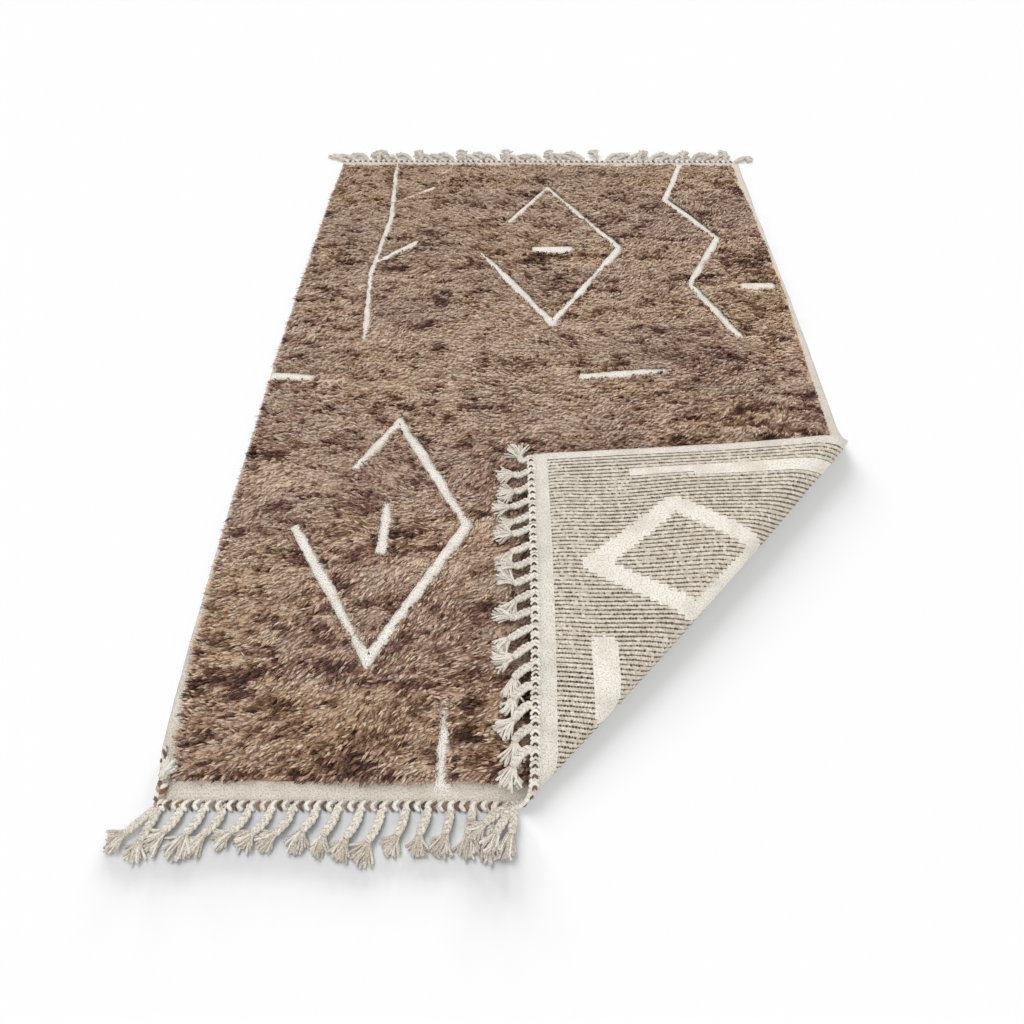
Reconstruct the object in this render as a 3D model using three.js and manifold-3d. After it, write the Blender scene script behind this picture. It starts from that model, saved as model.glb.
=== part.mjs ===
// A Beni Mrirt rug of hand knotted wool that lies on a floor, its near right corner folded over
// so that the woven back shows. Millimetres, +Z up, +Y towards the far end of the rug.
// The origin is under the middle of the rug, on the floor.
import * as THREE from 'three';
import { mergeVertices } from 'three/addons/utils/BufferGeometryUtils.js';
import Module from 'manifold-3d';

const wasm = await Module();
wasm.setup();

// The flat rug. u runs across it, v along it, and n up from its woven back.
const LENGTH = 2956;
const HALF_LENGTH = LENGTH / 2;
const WEAVE = 5;
const END_BAND = 42;
const WEAVE_CELL = 135;
const WEAVE_COLUMNS = 8;

// How far each side reaches from the middle line, and how much of it is bare selvedge.
const SIDES = [
  { v: -1478, left: 974, leftBare: 46, right: 1000, rightBare: 27 },
  { v: -1360, left: 999, leftBare: 40, right: 998, rightBare: 27 },
  { v: -1100, left: 1012, leftBare: 20, right: 994, rightBare: 27 },
  { v: -700, left: 1020, leftBare: 14, right: 986, rightBare: 27 },
  { v: -288, left: 1021, leftBare: 12, right: 978, rightBare: 27 },
  { v: 0, left: 1024, leftBare: 12, right: 985, rightBare: 24 },
  { v: 400, left: 1022, leftBare: 12, right: 992, rightBare: 12 },
  { v: 1050, left: 1007, leftBare: 12, right: 990, rightBare: 14 },
  { v: 1250, left: 1001, leftBare: 12, right: 993, rightBare: 30 },
  { v: 1478, left: 994, leftBare: 16, right: 996, rightBare: 30 },
];

// The pile: how high it stands on the weave, and how it is meshed, rounded and ruffled.
const PILE = 20;
const PILE_PRESSED = 14;
const PILE_RIM = 11;
const PILE_ROOT = 1;
const RIM_WIDTH = 18;
const CELL = 120;
const LUMP = 2.4;
const LUMP_ACROSS = 310;
const LUMP_ALONG = 172;
const LUMP_DRIFT = { across: 260, along: 390 };
const PRESSED_FROM = -40;
const PRESSED_TO = 30;

// Locks that hang over the open rim of the pile.
const LOCK_PITCH = 108;
const LOCK_WIDTH = 78;
const LOCK_TIP = 16;
const LOCK_REACH = 20;
const LOCK_TILT = 0.5;
const LOCK_UNEVEN = 0.4;

// Flat woven lines that part the pile. Each row is a line through corners given as u, v.
const CREAM_LINES = [
  { name: 'stem', width: 24, corners: [[-715, 1440], [-690, 960], [-730, 540], [-700, 150]] },
  { name: 'stem_high_twig', width: 24, corners: [[-698, 1075], [-520, 1215]] },
  { name: 'stem_low_twig', width: 24, corners: [[-722, 620], [-560, 770]] },
  {
    name: 'great_lozenge',
    width: 26,
    corners: [[-150, 930], [30, 1215], [330, 735], [20, 235], [-270, 690]],
  },
  { name: 'lozenge_bar', width: 44, corners: [[-30, 720], [110, 724]] },
  { name: 'zigzag', width: 26, corners: [[700, 1440], [580, 1120], [770, 810], [600, 480], [740, 160]] },
  { name: 'side_bar', width: 40, corners: [[820, 470], [930, 474]] },
  { name: 'low_bar', width: 30, corners: [[120, -60], [420, -30]] },
  {
    name: 'low_lozenge',
    width: 28,
    corners: [[-640, -480], [-520, -280], [-270, -700], [-520, -1130], [-790, -720]],
  },
  { name: 'low_lozenge_bar', width: 40, corners: [[-520, -640], [-520, -790]] },
  { name: 'left_bar', width: 30, corners: [[-1030, -60], [-860, -70]] },
  { name: 'end_bar', width: 30, corners: [[-300, -1440], [-300, -1270]] },
  {
    name: 'back_lozenge',
    width: 58,
    corners: [[560, -1330], [760, -1090], [600, -870], [400, -1080], [560, -1330]],
  },
  { name: 'back_bar', width: 62, corners: [[110, -1320], [300, -1320]] },
  { name: 'back_line', width: 34, corners: [[890, -1180], [880, -420]] },
];

// Two triangles are one flat face when they lie this close to one plane.
const FLAT_WITHIN = 0.002;
const ROUNDING_PASSES = 12;

// The fold: a straight line from the near end to the right side, about which the corner rolls over.
const FOLD_NEAR = { u: -134, v: -HALF_LENGTH };
const FOLD_SIDE = { u: 981, v: -288 };
const ROLL_NEAR = 26;
const ROLL_SIDE = 63;
const ROLL_SWELL = 16;
const FLAP_HEIGHT = 49;
const FLAP_SLOPE = THREE.MathUtils.degToRad(3.4);
const SETTLE_RADIUS = 250;
const TURN_STEP = Math.PI / 8;
const ALONG_STEP = 270;

// How far the free edges of the flap sink, and how far in from them, as a share of the bare edge.
const END_SINK = 8;
const SIDE_SINK = 6;
const END_SINK_REACH = 2.6;
const SIDE_SINK_REACH = 3;

// The twined edge at each end, and the plaits that hang from it.
const GAP = 0.3;
const ROLL_GAP = 2;
const TWINE = 17;
const TWINE_HEIGHT = 7;
const TWINE_STEP = 130;
const ROLLED_STRETCH = 150;
const ROLLED_STEP = 15;

// The near twined edge is built in two stretches, parted where the roll lifts it off the floor.
const NEAR_PARTING = FOLD_NEAR.u - TWINE;
const PLAIT_PITCH = 55;
const PLAIT_LENGTH = 112;
const PLAIT_TURN = 0.5;
const PLAIT_TOP = 0.72;
const UNEVEN_PLACE = 4;
const UNEVEN_LEAN = 5;
const UNEVEN_LENGTH = 0.07;
const PILE_CLEARANCE = 30;

// One row for each section of a plait: its place along the plait, its width and its height.
const PLAIT_SECTIONS = [
  { at: 0, width: 10, height: 5.5 },
  { at: 0.16, width: 13, height: 9 },
  { at: 0.58, width: 12, height: 9 },
  { at: 0.66, width: 8, height: 7.5 },
  { at: 0.82, width: 25, height: 9 },
  { at: 1, width: 31, height: 4 },
];

// How the plaits lean from square to their edge: u is the place along it, lean is in degrees,
// and length is a share of the usual one.
const NEAR_LEANS = [
  { u: -940, lean: 38, length: 1 },
  { u: -700, lean: 42, length: 1 },
  { u: -420, lean: 24, length: 1.02 },
  { u: -150, lean: 12, length: 0.86 },
];
const FLAP_LEANS = [
  { u: 60, lean: 52, length: 0.95 },
  { u: 300, lean: 38, length: 1 },
  { u: 520, lean: 6, length: 0.9 },
  { u: 820, lean: 2, length: 0.88 },
  { u: 990, lean: -26, length: 0.8 },
];
const FAR_LEANS = [
  { u: -985, lean: -24, length: 0.95 },
  { u: -400, lean: 14, length: 0.9 },
  { u: 200, lean: -12, length: 1 },
  { u: 985, lean: 20, length: 0.95 },
];

// Longer plaits at three corners: heading is in degrees from +X, turned to the left.
const CORNER_PLAITS = [
  { end: 'near', x: -966, y: -1487, heading: 226, length: 1.14 },
  { end: 'near', x: -960, y: -1487, heading: 254, length: 1.06 },
  { end: 'far', x: -984, y: 1487, heading: 150, length: 1 },
  { end: 'far', x: 986, y: 1487, heading: 30, length: 1 },
];

// The cord that turns back up the near left corner, and its tuft, over the bare selvedge.
const CORNER_CORD = [
  { x: -966, y: -1488, z: 1, width: 12, height: 5.5 },
  { x: -967, y: -1480, z: 6, width: 13, height: 9 },
  { x: -970, y: -1420, z: 6, width: 13, height: 10 },
  { x: -970, y: -1404, z: 6, width: 9, height: 8 },
  { x: -970, y: -1386, z: 6, width: 24, height: 15 },
  { x: -970, y: -1368, z: 6, width: 26, height: 12 },
];

const twineMiddle = HALF_LENGTH + GAP + TWINE / 2;

const lerp = THREE.MathUtils.lerp;
const clamp = THREE.MathUtils.clamp;
const smooth = THREE.MathUtils.smoothstep;

const range = (start, end, step) => Array.from(
  { length: Math.floor((end - start) / step + 1e-6) + 1 },
  (_, index) => start + index * step,
);

// A repeatable number from -1 to 1 for each whole number.
function scatter(index) {
  const wave = Math.sin(index * 12.9898) * 43758.5453;
  return 2 * (wave - Math.floor(wave)) - 1;
}

// The value of a column of a table at a place between two of its rows.
function readTable(rows, key, place, column) {
  const last = rows.length - 1;
  if (place <= rows[0][key]) return rows[0][column];
  if (place >= rows[last][key]) return rows[last][column];
  const next = rows.findIndex((row) => row[key] > place);
  const share = (place - rows[next - 1][key]) / (rows[next][key] - rows[next - 1][key]);
  return lerp(rows[next - 1][column], rows[next][column], share);
}

const side = (v, column) => readTable(SIDES, 'v', v, column);

// Directions of the fold line: along it, and square to it towards the corner.
const foldLength = Math.hypot(FOLD_SIDE.u - FOLD_NEAR.u, FOLD_SIDE.v - FOLD_NEAR.v);
const alongFold = {
  u: (FOLD_SIDE.u - FOLD_NEAR.u) / foldLength,
  v: (FOLD_SIDE.v - FOLD_NEAR.v) / foldLength,
};
const pastFold = { u: alongFold.v, v: -alongFold.u };

const distanceAlong = ([u, v]) => (u - FOLD_NEAR.u) * alongFold.u + (v - FOLD_NEAR.v) * alongFold.v;
const distancePast = ([u, v]) => (u - FOLD_NEAR.u) * pastFold.u + (v - FOLD_NEAR.v) * pastFold.v;

// The roll is tight at the near end, where only the band is folded, and fuller towards the side.
function rollRadius(along) {
  const share = clamp(along / foldLength, 0, 1);
  return lerp(ROLL_NEAR, ROLL_SIDE, share) + ROLL_SWELL * 4 * share * (1 - share);
}

const rollTurn = (point) => distancePast(point) / rollRadius(distanceAlong(point));

// The back of the rug past the fold line, seen along the fold: out and up from the line, and the
// heading there. It rolls over, slopes down to the layer below, and settles level on it.
function rollProfile(past, radius) {
  const rollEnd = Math.PI + FLAP_SLOPE;
  const rollLength = radius * rollEnd;
  const drop = radius * (1 + Math.cos(FLAP_SLOPE)) - SETTLE_RADIUS * (1 - Math.cos(FLAP_SLOPE));
  const slopeLength = Math.max((drop - FLAP_HEIGHT) / Math.sin(FLAP_SLOPE), 0);
  const settleLength = SETTLE_RADIUS * FLAP_SLOPE;
  const rolled = Math.min(past, rollLength) / radius;
  const sloped = clamp(past - rollLength, 0, slopeLength);
  const settled = clamp(past - rollLength - slopeLength, 0, settleLength) / SETTLE_RADIUS;
  const level = Math.max(past - rollLength - slopeLength - settleLength, 0);
  const slopeLeft = FLAP_SLOPE - settled;
  return {
    out: radius * Math.sin(rolled) - sloped * Math.cos(FLAP_SLOPE)
      - SETTLE_RADIUS * (Math.sin(FLAP_SLOPE) - Math.sin(slopeLeft)) - level,
    up: radius * (1 - Math.cos(rolled)) - sloped * Math.sin(FLAP_SLOPE)
      - SETTLE_RADIUS * (Math.cos(slopeLeft) - Math.cos(FLAP_SLOPE)),
    heading: rolled - settled,
  };
}

// The free edges of the flap have no pile under them, so they sink a little.
function edgeSink([u, v]) {
  const atEnd = 1 - smooth(v + HALF_LENGTH, 0, END_SINK_REACH * END_BAND);
  const atSide = 1 - smooth(side(v, 'right') - u, 0, SIDE_SINK_REACH * side(v, 'rightBare'));
  return Math.max(END_SINK * atEnd, SIDE_SINK * atSide);
}

// Takes a point of the flat rug to its place on the folded one.
function foldOver([u, v, n]) {
  const past = distancePast([u, v]);
  if (past <= 0) return [u, v, n];
  const along = distanceAlong([u, v]);
  const { out, up, heading } = rollProfile(past, rollRadius(along));
  const reach = out - n * Math.sin(heading);
  const sink = edgeSink([u, v]) * smooth(heading, 0.75 * Math.PI, Math.PI);
  return [
    FOLD_NEAR.u + along * alongFold.u + reach * pastFold.u,
    FOLD_NEAR.v + along * alongFold.v + reach * pastFold.v,
    up + n * Math.cos(heading) - sink,
  ];
}

// How far a point of the lower layer is under the flap, from 0 outside it to 1.
const flapCorner = foldOver([side(-HALF_LENGTH, 'right'), -HALF_LENGTH, 0]);

function distanceInside(point, from, to) {
  const across = (to[0] - from[0]) * (point[1] - from[1]) - (to[1] - from[1]) * (point[0] - from[0]);
  return -across / Math.hypot(to[0] - from[0], to[1] - from[1]);
}

function pressed(point) {
  if (distancePast(point) > 0) return 1;
  const fromEnd = distanceInside(point, [FOLD_NEAR.u, FOLD_NEAR.v], flapCorner);
  const fromSide = distanceInside(point, flapCorner, [FOLD_SIDE.u, FOLD_SIDE.v]);
  return smooth(Math.min(fromEnd, fromSide), PRESSED_FROM, PRESSED_TO);
}

// The height of the pile above the weave: rumpled where it is open, level where it is pressed.
function pileHeight(point) {
  const [u, v] = point;
  const wave = Math.sin(u / LUMP_ACROSS * 2 * Math.PI + 2 * Math.sin(v / LUMP_DRIFT.along));
  const ripple = Math.sin(v / LUMP_ALONG * 2 * Math.PI + 2 * Math.sin(u / LUMP_DRIFT.across));
  const open = PILE + LUMP * ripple * lerp(1, wave, 0.4);
  return lerp(open, PILE_PRESSED, pressed(point));
}

// Solids from points and triangles, and back.
function toManifold(geometry) {
  geometry.deleteAttribute('normal');
  geometry.deleteAttribute('uv');
  const merged = mergeVertices(geometry, 1e-4);
  return new wasm.Manifold(new wasm.Mesh({
    numProp: 3,
    vertProperties: new Float32Array(merged.attributes.position.array),
    triVerts: new Uint32Array(merged.index.array),
  }));
}

function toGeometry({ points, triangles }) {
  const geometry = new THREE.BufferGeometry();
  geometry.setAttribute('position', new THREE.Float32BufferAttribute(points.flat(), 3));
  geometry.setIndex(triangles.flat());
  return geometry;
}

function toTriangles(manifold) {
  const { vertProperties, triVerts, numProp } = manifold.getMesh();
  const points = [];
  for (let at = 0; at < vertProperties.length; at += numProp) {
    points.push([vertProperties[at], vertProperties[at + 1], vertProperties[at + 2]]);
  }
  const triangles = [];
  for (let at = 0; at < triVerts.length; at += 3) {
    triangles.push([triVerts[at], triVerts[at + 1], triVerts[at + 2]]);
  }
  return { points, triangles };
}

const join = (solids) => solids.reduce((whole, solid) => whole.add(solid));

// A closed solid through rings of points, each ring the same way round, with a cap at each end.
function throughRings(rings) {
  const count = rings[0].length;
  const points = rings.flat();
  const triangles = [];
  for (let ring = 0; ring < rings.length - 1; ring += 1) {
    for (let corner = 0; corner < count; corner += 1) {
      const a = ring * count + corner;
      const b = ring * count + (corner + 1) % count;
      triangles.push([a, b, b + count], [a, b + count, a + count]);
    }
  }
  const lastRing = (rings.length - 1) * count;
  for (let corner = 1; corner < count - 1; corner += 1) {
    triangles.push([0, corner + 1, corner], [lastRing, lastRing + corner, lastRing + corner + 1]);
  }
  return toManifold(toGeometry({ points, triangles }));
}

// A closed solid between two faces over a grid, used for the weave and the pile.
function overGrid(grid, bottom, top) {
  const rows = grid.length;
  const columns = grid[0].length;
  const flat = grid.flat();
  const count = flat.length;
  const points = [bottom, top].flatMap((face) => flat.map((point) => [...point, face(point)]));
  const triangles = [];
  const wall = (a, b) => triangles.push([a, b, b + count], [a, b + count, a + count]);
  for (let row = 0; row < rows - 1; row += 1) {
    for (let column = 0; column < columns - 1; column += 1) {
      const a = row * columns + column;
      const b = a + 1;
      const c = b + columns;
      const d = a + columns;
      triangles.push([a, d, c], [a, c, b]);
      triangles.push([a + count, b + count, c + count], [a + count, c + count, d + count]);
    }
  }
  for (let column = 0; column < columns - 1; column += 1) {
    wall(column, column + 1);
    wall((rows - 1) * columns + column + 1, (rows - 1) * columns + column);
  }
  for (let row = 0; row < rows - 1; row += 1) {
    wall((row + 1) * columns, row * columns);
    wall(row * columns + columns - 1, (row + 1) * columns + columns - 1);
  }
  return toManifold(toGeometry({ points, triangles }));
}

// Places from start to end: the two ends, a narrow rim inside each, and even steps between.
function rimmedSteps(start, end, step) {
  const inner = end - start - 2 * RIM_WIDTH;
  const count = Math.round(inner / step);
  const places = [start];
  for (let index = 0; index <= count; index += 1) places.push(start + RIM_WIDTH + inner * index / count);
  return [...places, end];
}

function weaveSlab() {
  const rows = [...SIDES.map(({ v }) => v), ...range(WEAVE_CELL - HALF_LENGTH, FOLD_SIDE.v, WEAVE_CELL)];
  rows.sort((low, high) => low - high);
  const columns = range(0, WEAVE_COLUMNS, 1).map((index) => index / WEAVE_COLUMNS);
  const grid = rows.map((v) => [
    [-side(v, 'left'), v],
    ...columns.map((share) => [lerp(FOLD_NEAR.u, side(v, 'right'), share), v]),
  ]);
  return overGrid(grid, () => 0, () => WEAVE);
}

const pileLeft = (v) => -side(v, 'left') + side(v, 'leftBare');
const pileRight = (v) => side(v, 'right') - side(v, 'rightBare');

function pileSlab() {
  const near = END_BAND - HALF_LENGTH;
  const far = HALF_LENGTH - END_BAND;
  const rows = rimmedSteps(near, far, CELL);
  const shares = rimmedSteps(pileLeft(0), pileRight(0), CELL)
    .map((u) => (u - pileLeft(0)) / (pileRight(0) - pileLeft(0)));
  const grid = rows.map((v) => shares.map((share) => [lerp(pileLeft(v), pileRight(v), share), v]));
  const top = (point) => {
    const [u, v] = point;
    const toRim = Math.min(u - pileLeft(v), pileRight(v) - u, v - near, far - v);
    return WEAVE + (toRim < 1 ? PILE_RIM : pileHeight(point));
  };
  return overGrid(grid, () => WEAVE - PILE_ROOT, top);
}

// A wedge of wool that starts inside the rim, leans out over it and thins to a blunt tip.
function lock([u, v], outward, index) {
  const tilt = LOCK_TILT * scatter(index);
  const [x, y] = [Math.cos(outward + tilt), Math.sin(outward + tilt)];
  const reach = LOCK_REACH * (1 + LOCK_UNEVEN * scatter(index + 0.5));
  const ring = (out, width, low, high) => [
    [u + x * out + y * width / 2, v + y * out - x * width / 2, low],
    [u + x * out - y * width / 2, v + y * out + x * width / 2, low],
    [u + x * out - y * width / 2, v + y * out + x * width / 2, high],
    [u + x * out + y * width / 2, v + y * out - x * width / 2, high],
  ];
  const top = WEAVE + lerp(PILE, PILE_PRESSED, pressed([u, v]));
  return throughRings([ring(-RIM_WIDTH, LOCK_WIDTH, 1, top - 2), ring(reach, LOCK_TIP, 1, 7)]);
}

function rimLocks() {
  const near = END_BAND - HALF_LENGTH;
  const far = HALF_LENGTH - END_BAND;
  const rim = [];
  const alongSide = Math.round((far - near) / LOCK_PITCH);
  for (let index = 0; index < alongSide; index += 1) {
    const v = near + (index + 0.5 + 0.25 * scatter(index)) * (far - near) / alongSide;
    rim.push({ place: [pileLeft(v), v], outward: Math.PI }, { place: [pileRight(v), v], outward: 0 });
  }
  for (const [v, outward] of [[near, -Math.PI / 2], [far, Math.PI / 2]]) {
    const acrossEnd = Math.round((pileRight(v) - pileLeft(v)) / LOCK_PITCH);
    for (let index = 0; index < acrossEnd; index += 1) {
      const u = lerp(pileLeft(v), pileRight(v), (index + 0.5 + 0.25 * scatter(index + 90)) / acrossEnd);
      rim.push({ place: [u, v], outward });
    }
  }
  const fromCord = ([u, v]) => Math.hypot(u - CORNER_CORD[2].x, v - CORNER_CORD[2].y);
  const open = rim.filter(({ place }) => fromCord(place) > LOCK_PITCH && distancePast(place) < -LOCK_PITCH);
  return open.map(({ place, outward }, index) => lock(place, outward, index));
}

// A straight trough that takes the pile off a cream line between two of its corners.
function trough(from, to, width) {
  const length = Math.hypot(to[0] - from[0], to[1] - from[1]);
  const [x, y] = [(to[0] - from[0]) / length, (to[1] - from[1]) / length];
  const half = width / 2;
  const ring = ([u, v], out) => [
    [u + x * out + y * half, v + y * out - x * half, 0],
    [u + x * out - y * half, v + y * out + x * half, 0],
    [u + x * out - y * half, v + y * out + x * half, 3 * PILE],
    [u + x * out + y * half, v + y * out - x * half, 3 * PILE],
  ];
  return throughRings([ring(from, -half), ring(to, half)]);
}

function creamTroughs() {
  return CREAM_LINES.flatMap(({ width, corners }) => (
    corners.slice(1).map((corner, index) => trough(corners[index], corner, width))
  ));
}

const minus = (p, q) => [p[0] - q[0], p[1] - q[1], p[2] - q[2]];
const dot = (p, q) => p[0] * q[0] + p[1] * q[1] + p[2] * q[2];
const cross = (p, q) => [p[1] * q[2] - p[2] * q[1], p[2] * q[0] - p[0] * q[2], p[0] * q[1] - p[1] * q[0]];

// The angle at a point between two others.
function angleAt(point, p, q) {
  const [toP, toQ] = [minus(p, point), minus(q, point)];
  return Math.atan2(Math.hypot(...cross(toP, toQ)), dot(toP, toQ));
}

// Whether two triangles that share the side a b, with far corners c and d, lie in one plane and
// would be rounder if they shared the side c d.
function betterAcross(a, b, c, d) {
  if (angleAt(c, a, b) + angleAt(d, a, b) < Math.PI + 0.01) return false;
  const normals = [cross(minus(b, a), minus(c, a)), cross(minus(a, b), minus(d, b))];
  const normal = Math.hypot(...normals[0]) > Math.hypot(...normals[1]) ? normals[0] : normals[1];
  const size = Math.hypot(...normal);
  const offPlane = Math.max(Math.abs(dot(minus(d, a), normal)), Math.abs(dot(minus(c, a), normal))) / size;
  const areas = [cross(minus(d, a), minus(c, a)), cross(minus(b, d), minus(c, d))];
  return offPlane < FLAT_WITHIN && areas.every((area) => dot(area, normal) / size > FLAT_WITHIN);
}

// Swaps shared sides within flat faces until the triangles are as round as their corners allow.
// apart says which two points no side may join.
function rounder({ points, triangles }, apart) {
  const result = triangles.map((triangle) => [...triangle]);
  const key = (from, to) => from * 1e6 + to;
  for (let pass = 0; pass < ROUNDING_PASSES; pass += 1) {
    const sides = new Map();
    result.forEach((triangle, index) => [0, 1, 2].forEach((start) => {
      const [a, b, c] = [0, 1, 2].map((step) => triangle[(start + step) % 3]);
      sides.set(key(a, b), { index, far: c });
    }));
    const changed = new Set();
    const added = new Set();
    for (const [shared, here] of sides) {
      const [a, b] = [Math.floor(shared / 1e6), shared % 1e6];
      const there = sides.get(key(b, a));
      const [c, d] = [here.far, there.far];
      const free = !changed.has(here.index) && !changed.has(there.index);
      const joined = sides.has(key(c, d)) || sides.has(key(d, c)) || added.has(key(c, d));
      if (a > b || !free || joined || apart(points[c], points[d])) continue;
      if (!betterAcross(points[a], points[b], points[c], points[d])) continue;
      result[here.index] = [a, d, c];
      result[there.index] = [d, b, c];
      added.add(key(c, d)).add(key(d, c));
      changed.add(here.index).add(there.index);
    }
    if (changed.size === 0) break;
  }
  return { points, triangles: result };
}

// Splits each live edge that crosses a level of a value, so that a later bend has points to follow.
// An edge that spans less than the least is left whole, and so is one with an end near the level.
function splitAt({ points, triangles }, { value, level, least, near, live }) {
  const heights = points.map((point) => value(point) - level);
  const alive = points.map(live);
  const middles = new Map();
  const middleOf = (a, b) => {
    const low = Math.min(a, b);
    const high = Math.max(a, b);
    const nearest = Math.min(Math.abs(heights[low]), Math.abs(heights[high]));
    const crosses = heights[low] * heights[high] < 0;
    const span = Math.abs(heights[low] - heights[high]);
    if (!crosses || !alive[low] || !alive[high] || span < least || nearest < near) return -1;
    const key = low * 1e6 + high;
    if (!middles.has(key)) {
      const share = heights[low] / (heights[low] - heights[high]);
      points.push(points[low].map((start, axis) => lerp(start, points[high][axis], share)));
      middles.set(key, points.length - 1);
    }
    return middles.get(key);
  };
  const result = [];
  for (const triangle of triangles) {
    const middle = triangle.map((corner, index) => middleOf(corner, triangle[(index + 1) % 3]));
    const cuts = middle.filter((index) => index >= 0).length;
    const start = cuts === 2
      ? middle.findIndex((index, place) => index >= 0 && middle[(place + 1) % 3] >= 0)
      : middle.findIndex((index) => index >= 0);
    if (cuts === 0) {
      result.push(triangle);
      continue;
    }
    const [a, b, c] = [0, 1, 2].map((step) => triangle[(start + step) % 3]);
    const first = middle[start];
    const second = middle[(start + 1) % 3];
    if (cuts === 1) {
      result.push([a, first, c], [first, b, c]);
    } else {
      result.push([first, b, second], [a, first, second], [a, second, c]);
    }
  }
  return { points, triangles: result };
}

// Splits the flat rug where the roll, the slope and the sunk edges of the flap bend it.
function splitForFold(flat) {
  const anywhere = () => true;
  const folded = (point) => distancePast(point) > -2;
  const along = (level) => ({ value: distanceAlong, level, least: 200, near: 20, live: folded });
  const turned = (level) => ({ value: rollTurn, level, least: 0.4, near: 0.03, live: folded });
  const splits = [
    { value: distancePast, level: 0, least: 0, near: 2, live: anywhere },
    ...range(ALONG_STEP / 2, foldLength, ALONG_STEP).map(along),
    ...range(TURN_STEP, Math.PI * 1.01, TURN_STEP).map(turned),
  ];
  return splits.reduce((mesh, split, index) => {
    const done = splits.slice(0, index + 1);
    const apart = (c, d) => done.some(({ value, level, live }) => (
      live(c) && live(d) && (value(c) - level) * (value(d) - level) < 0
    ));
    return rounder(splitAt(mesh, split), apart);
  }, rounder(flat, () => false));
}

function rugGeometry() {
  const uncut = join([pileSlab(), ...rimLocks()]);
  const pile = creamTroughs().reduce((solid, cutter) => solid.subtract(cutter), uncut);
  const flat = toTriangles(weaveSlab().add(pile));
  const { points, triangles } = splitForFold(flat);
  return toGeometry({ points: points.map(foldOver), triangles });
}

// The four corners of a section that stands on its flat, wide side.
function standingSection({ x, y, z, width, height }, heading) {
  const [sideX, sideY] = [-Math.sin(heading), Math.cos(heading)];
  const corner = (across, up) => [x + sideX * across, y + sideY * across, z + up];
  return [
    corner(-width / 2, 0),
    corner(width / 2, 0),
    corner(width * PLAIT_TOP / 2, height),
    corner(-width * PLAIT_TOP / 2, height),
  ];
}

// A plait with its tassel: it leaves its root square to the edge, turns to its lean and drops to its
// resting height. Each of its sections stands on its flat, wide side.
function plait({ x, y, z }, { square, heading, length, rest }) {
  let at = { x, y, z };
  let last = 0;
  const rings = PLAIT_SECTIONS.map(({ at: place, width, height }) => {
    const turned = smooth(place, 0, PLAIT_TURN);
    const turn = lerp(square, heading, turned);
    const step = (place - last) * length;
    last = place;
    at = {
      x: at.x + step * Math.cos(turn),
      y: at.y + step * Math.sin(turn),
      z: lerp(z, rest, turned),
    };
    return standingSection({ ...at, width, height }, turn);
  });
  return throughRings(rings);
}

// The twined edge over a list of places along it. end is -1 for the near one and 1 for the far one.
function twinedEdge(places, end) {
  const outer = end * (HALF_LENGTH + GAP + TWINE);
  const ring = (u) => {
    const inner = end * (HALF_LENGTH + (end < 0 && u > NEAR_PARTING ? ROLL_GAP : GAP));
    return [[u, inner, 0], [u, outer, 0], [u, outer, TWINE_HEIGHT], [u, inner, TWINE_HEIGHT]];
  };
  const rings = places.map((u) => (end > 0 ? ring(u) : ring(u).reverse()).map(foldOver));
  return throughRings(rings);
}

// Plaits at even steps from one place to another, each with its own small lean and length.
function plaitsAlong({ from, to, leans, root, square, turn, rest, seed }) {
  const count = Math.round((to - from) / PLAIT_PITCH);
  return range(0, count, 1).map((index) => {
    const u = lerp(from, to, index / count) + UNEVEN_PLACE * scatter(seed + index);
    const lean = readTable(leans, 'u', u, 'lean') + UNEVEN_LEAN * scatter(seed + index + 0.3);
    const share = readTable(leans, 'u', u, 'length') * (1 + UNEVEN_LENGTH * scatter(seed + index + 0.6));
    const heading = square + turn * THREE.MathUtils.degToRad(lean);
    return plait(root(u), { square, heading, length: PLAIT_LENGTH * share, rest });
  });
}

function cornerPlaits(end) {
  return CORNER_PLAITS.filter((row) => row.end === end).map(({ x, y, heading, length }) => {
    const turn = THREE.MathUtils.degToRad(heading);
    return plait({ x, y, z: 0 }, { square: turn, heading: turn, length: PLAIT_LENGTH * length, rest: 0 });
  });
}

function cornerCord() {
  return throughRings(CORNER_CORD.map((section, index) => {
    const next = CORNER_CORD[Math.min(index + 1, CORNER_CORD.length - 1)];
    const before = CORNER_CORD[Math.max(index - 1, 0)];
    return standingSection(section, Math.atan2(next.y - before.y, next.x - before.x));
  }));
}

// The near end on the floor, as far as the place where the roll lifts it.
function nearFringe() {
  const left = -side(-HALF_LENGTH, 'left');
  const onFloor = plaitsAlong({
    from: -915, to: -172, leans: NEAR_LEANS, root: (u) => ({ x: u, y: -twineMiddle, z: 0 }),
    square: -Math.PI / 2, turn: -1, rest: 0, seed: 10,
  });
  return join([twinedEdge([left, NEAR_PARTING], -1), ...onFloor, ...cornerPlaits('near'), cornerCord()]);
}

// The rest of the near end: round the roll and up the edge of the flap, its plaits on the pile.
function flapFringe() {
  const right = side(-HALF_LENGTH, 'right');
  const rolled = FOLD_NEAR.u + ROLLED_STRETCH;
  const places = [
    ...range(NEAR_PARTING + GAP, rolled, ROLLED_STEP),
    ...range(rolled + TWINE_STEP / 2, right - TWINE_STEP / 2, TWINE_STEP),
    right,
  ];
  const flapRoot = (u) => {
    const [x, y, z] = foldOver([u, -twineMiddle, TWINE_HEIGHT - 1]);
    return { x, y, z };
  };
  const [farX, farY] = foldOver([right, -HALF_LENGTH, 0]);
  const [nearX, nearY] = foldOver([right, -HALF_LENGTH + END_BAND, 0]);
  const onPile = plaitsAlong({
    from: 52, to: right - 12, leans: FLAP_LEANS, root: flapRoot,
    square: Math.atan2(farY - nearY, farX - nearX), turn: 1, rest: PILE_CLEARANCE, seed: 50,
  });
  return join([twinedEdge(places, -1), ...onPile]);
}

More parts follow.
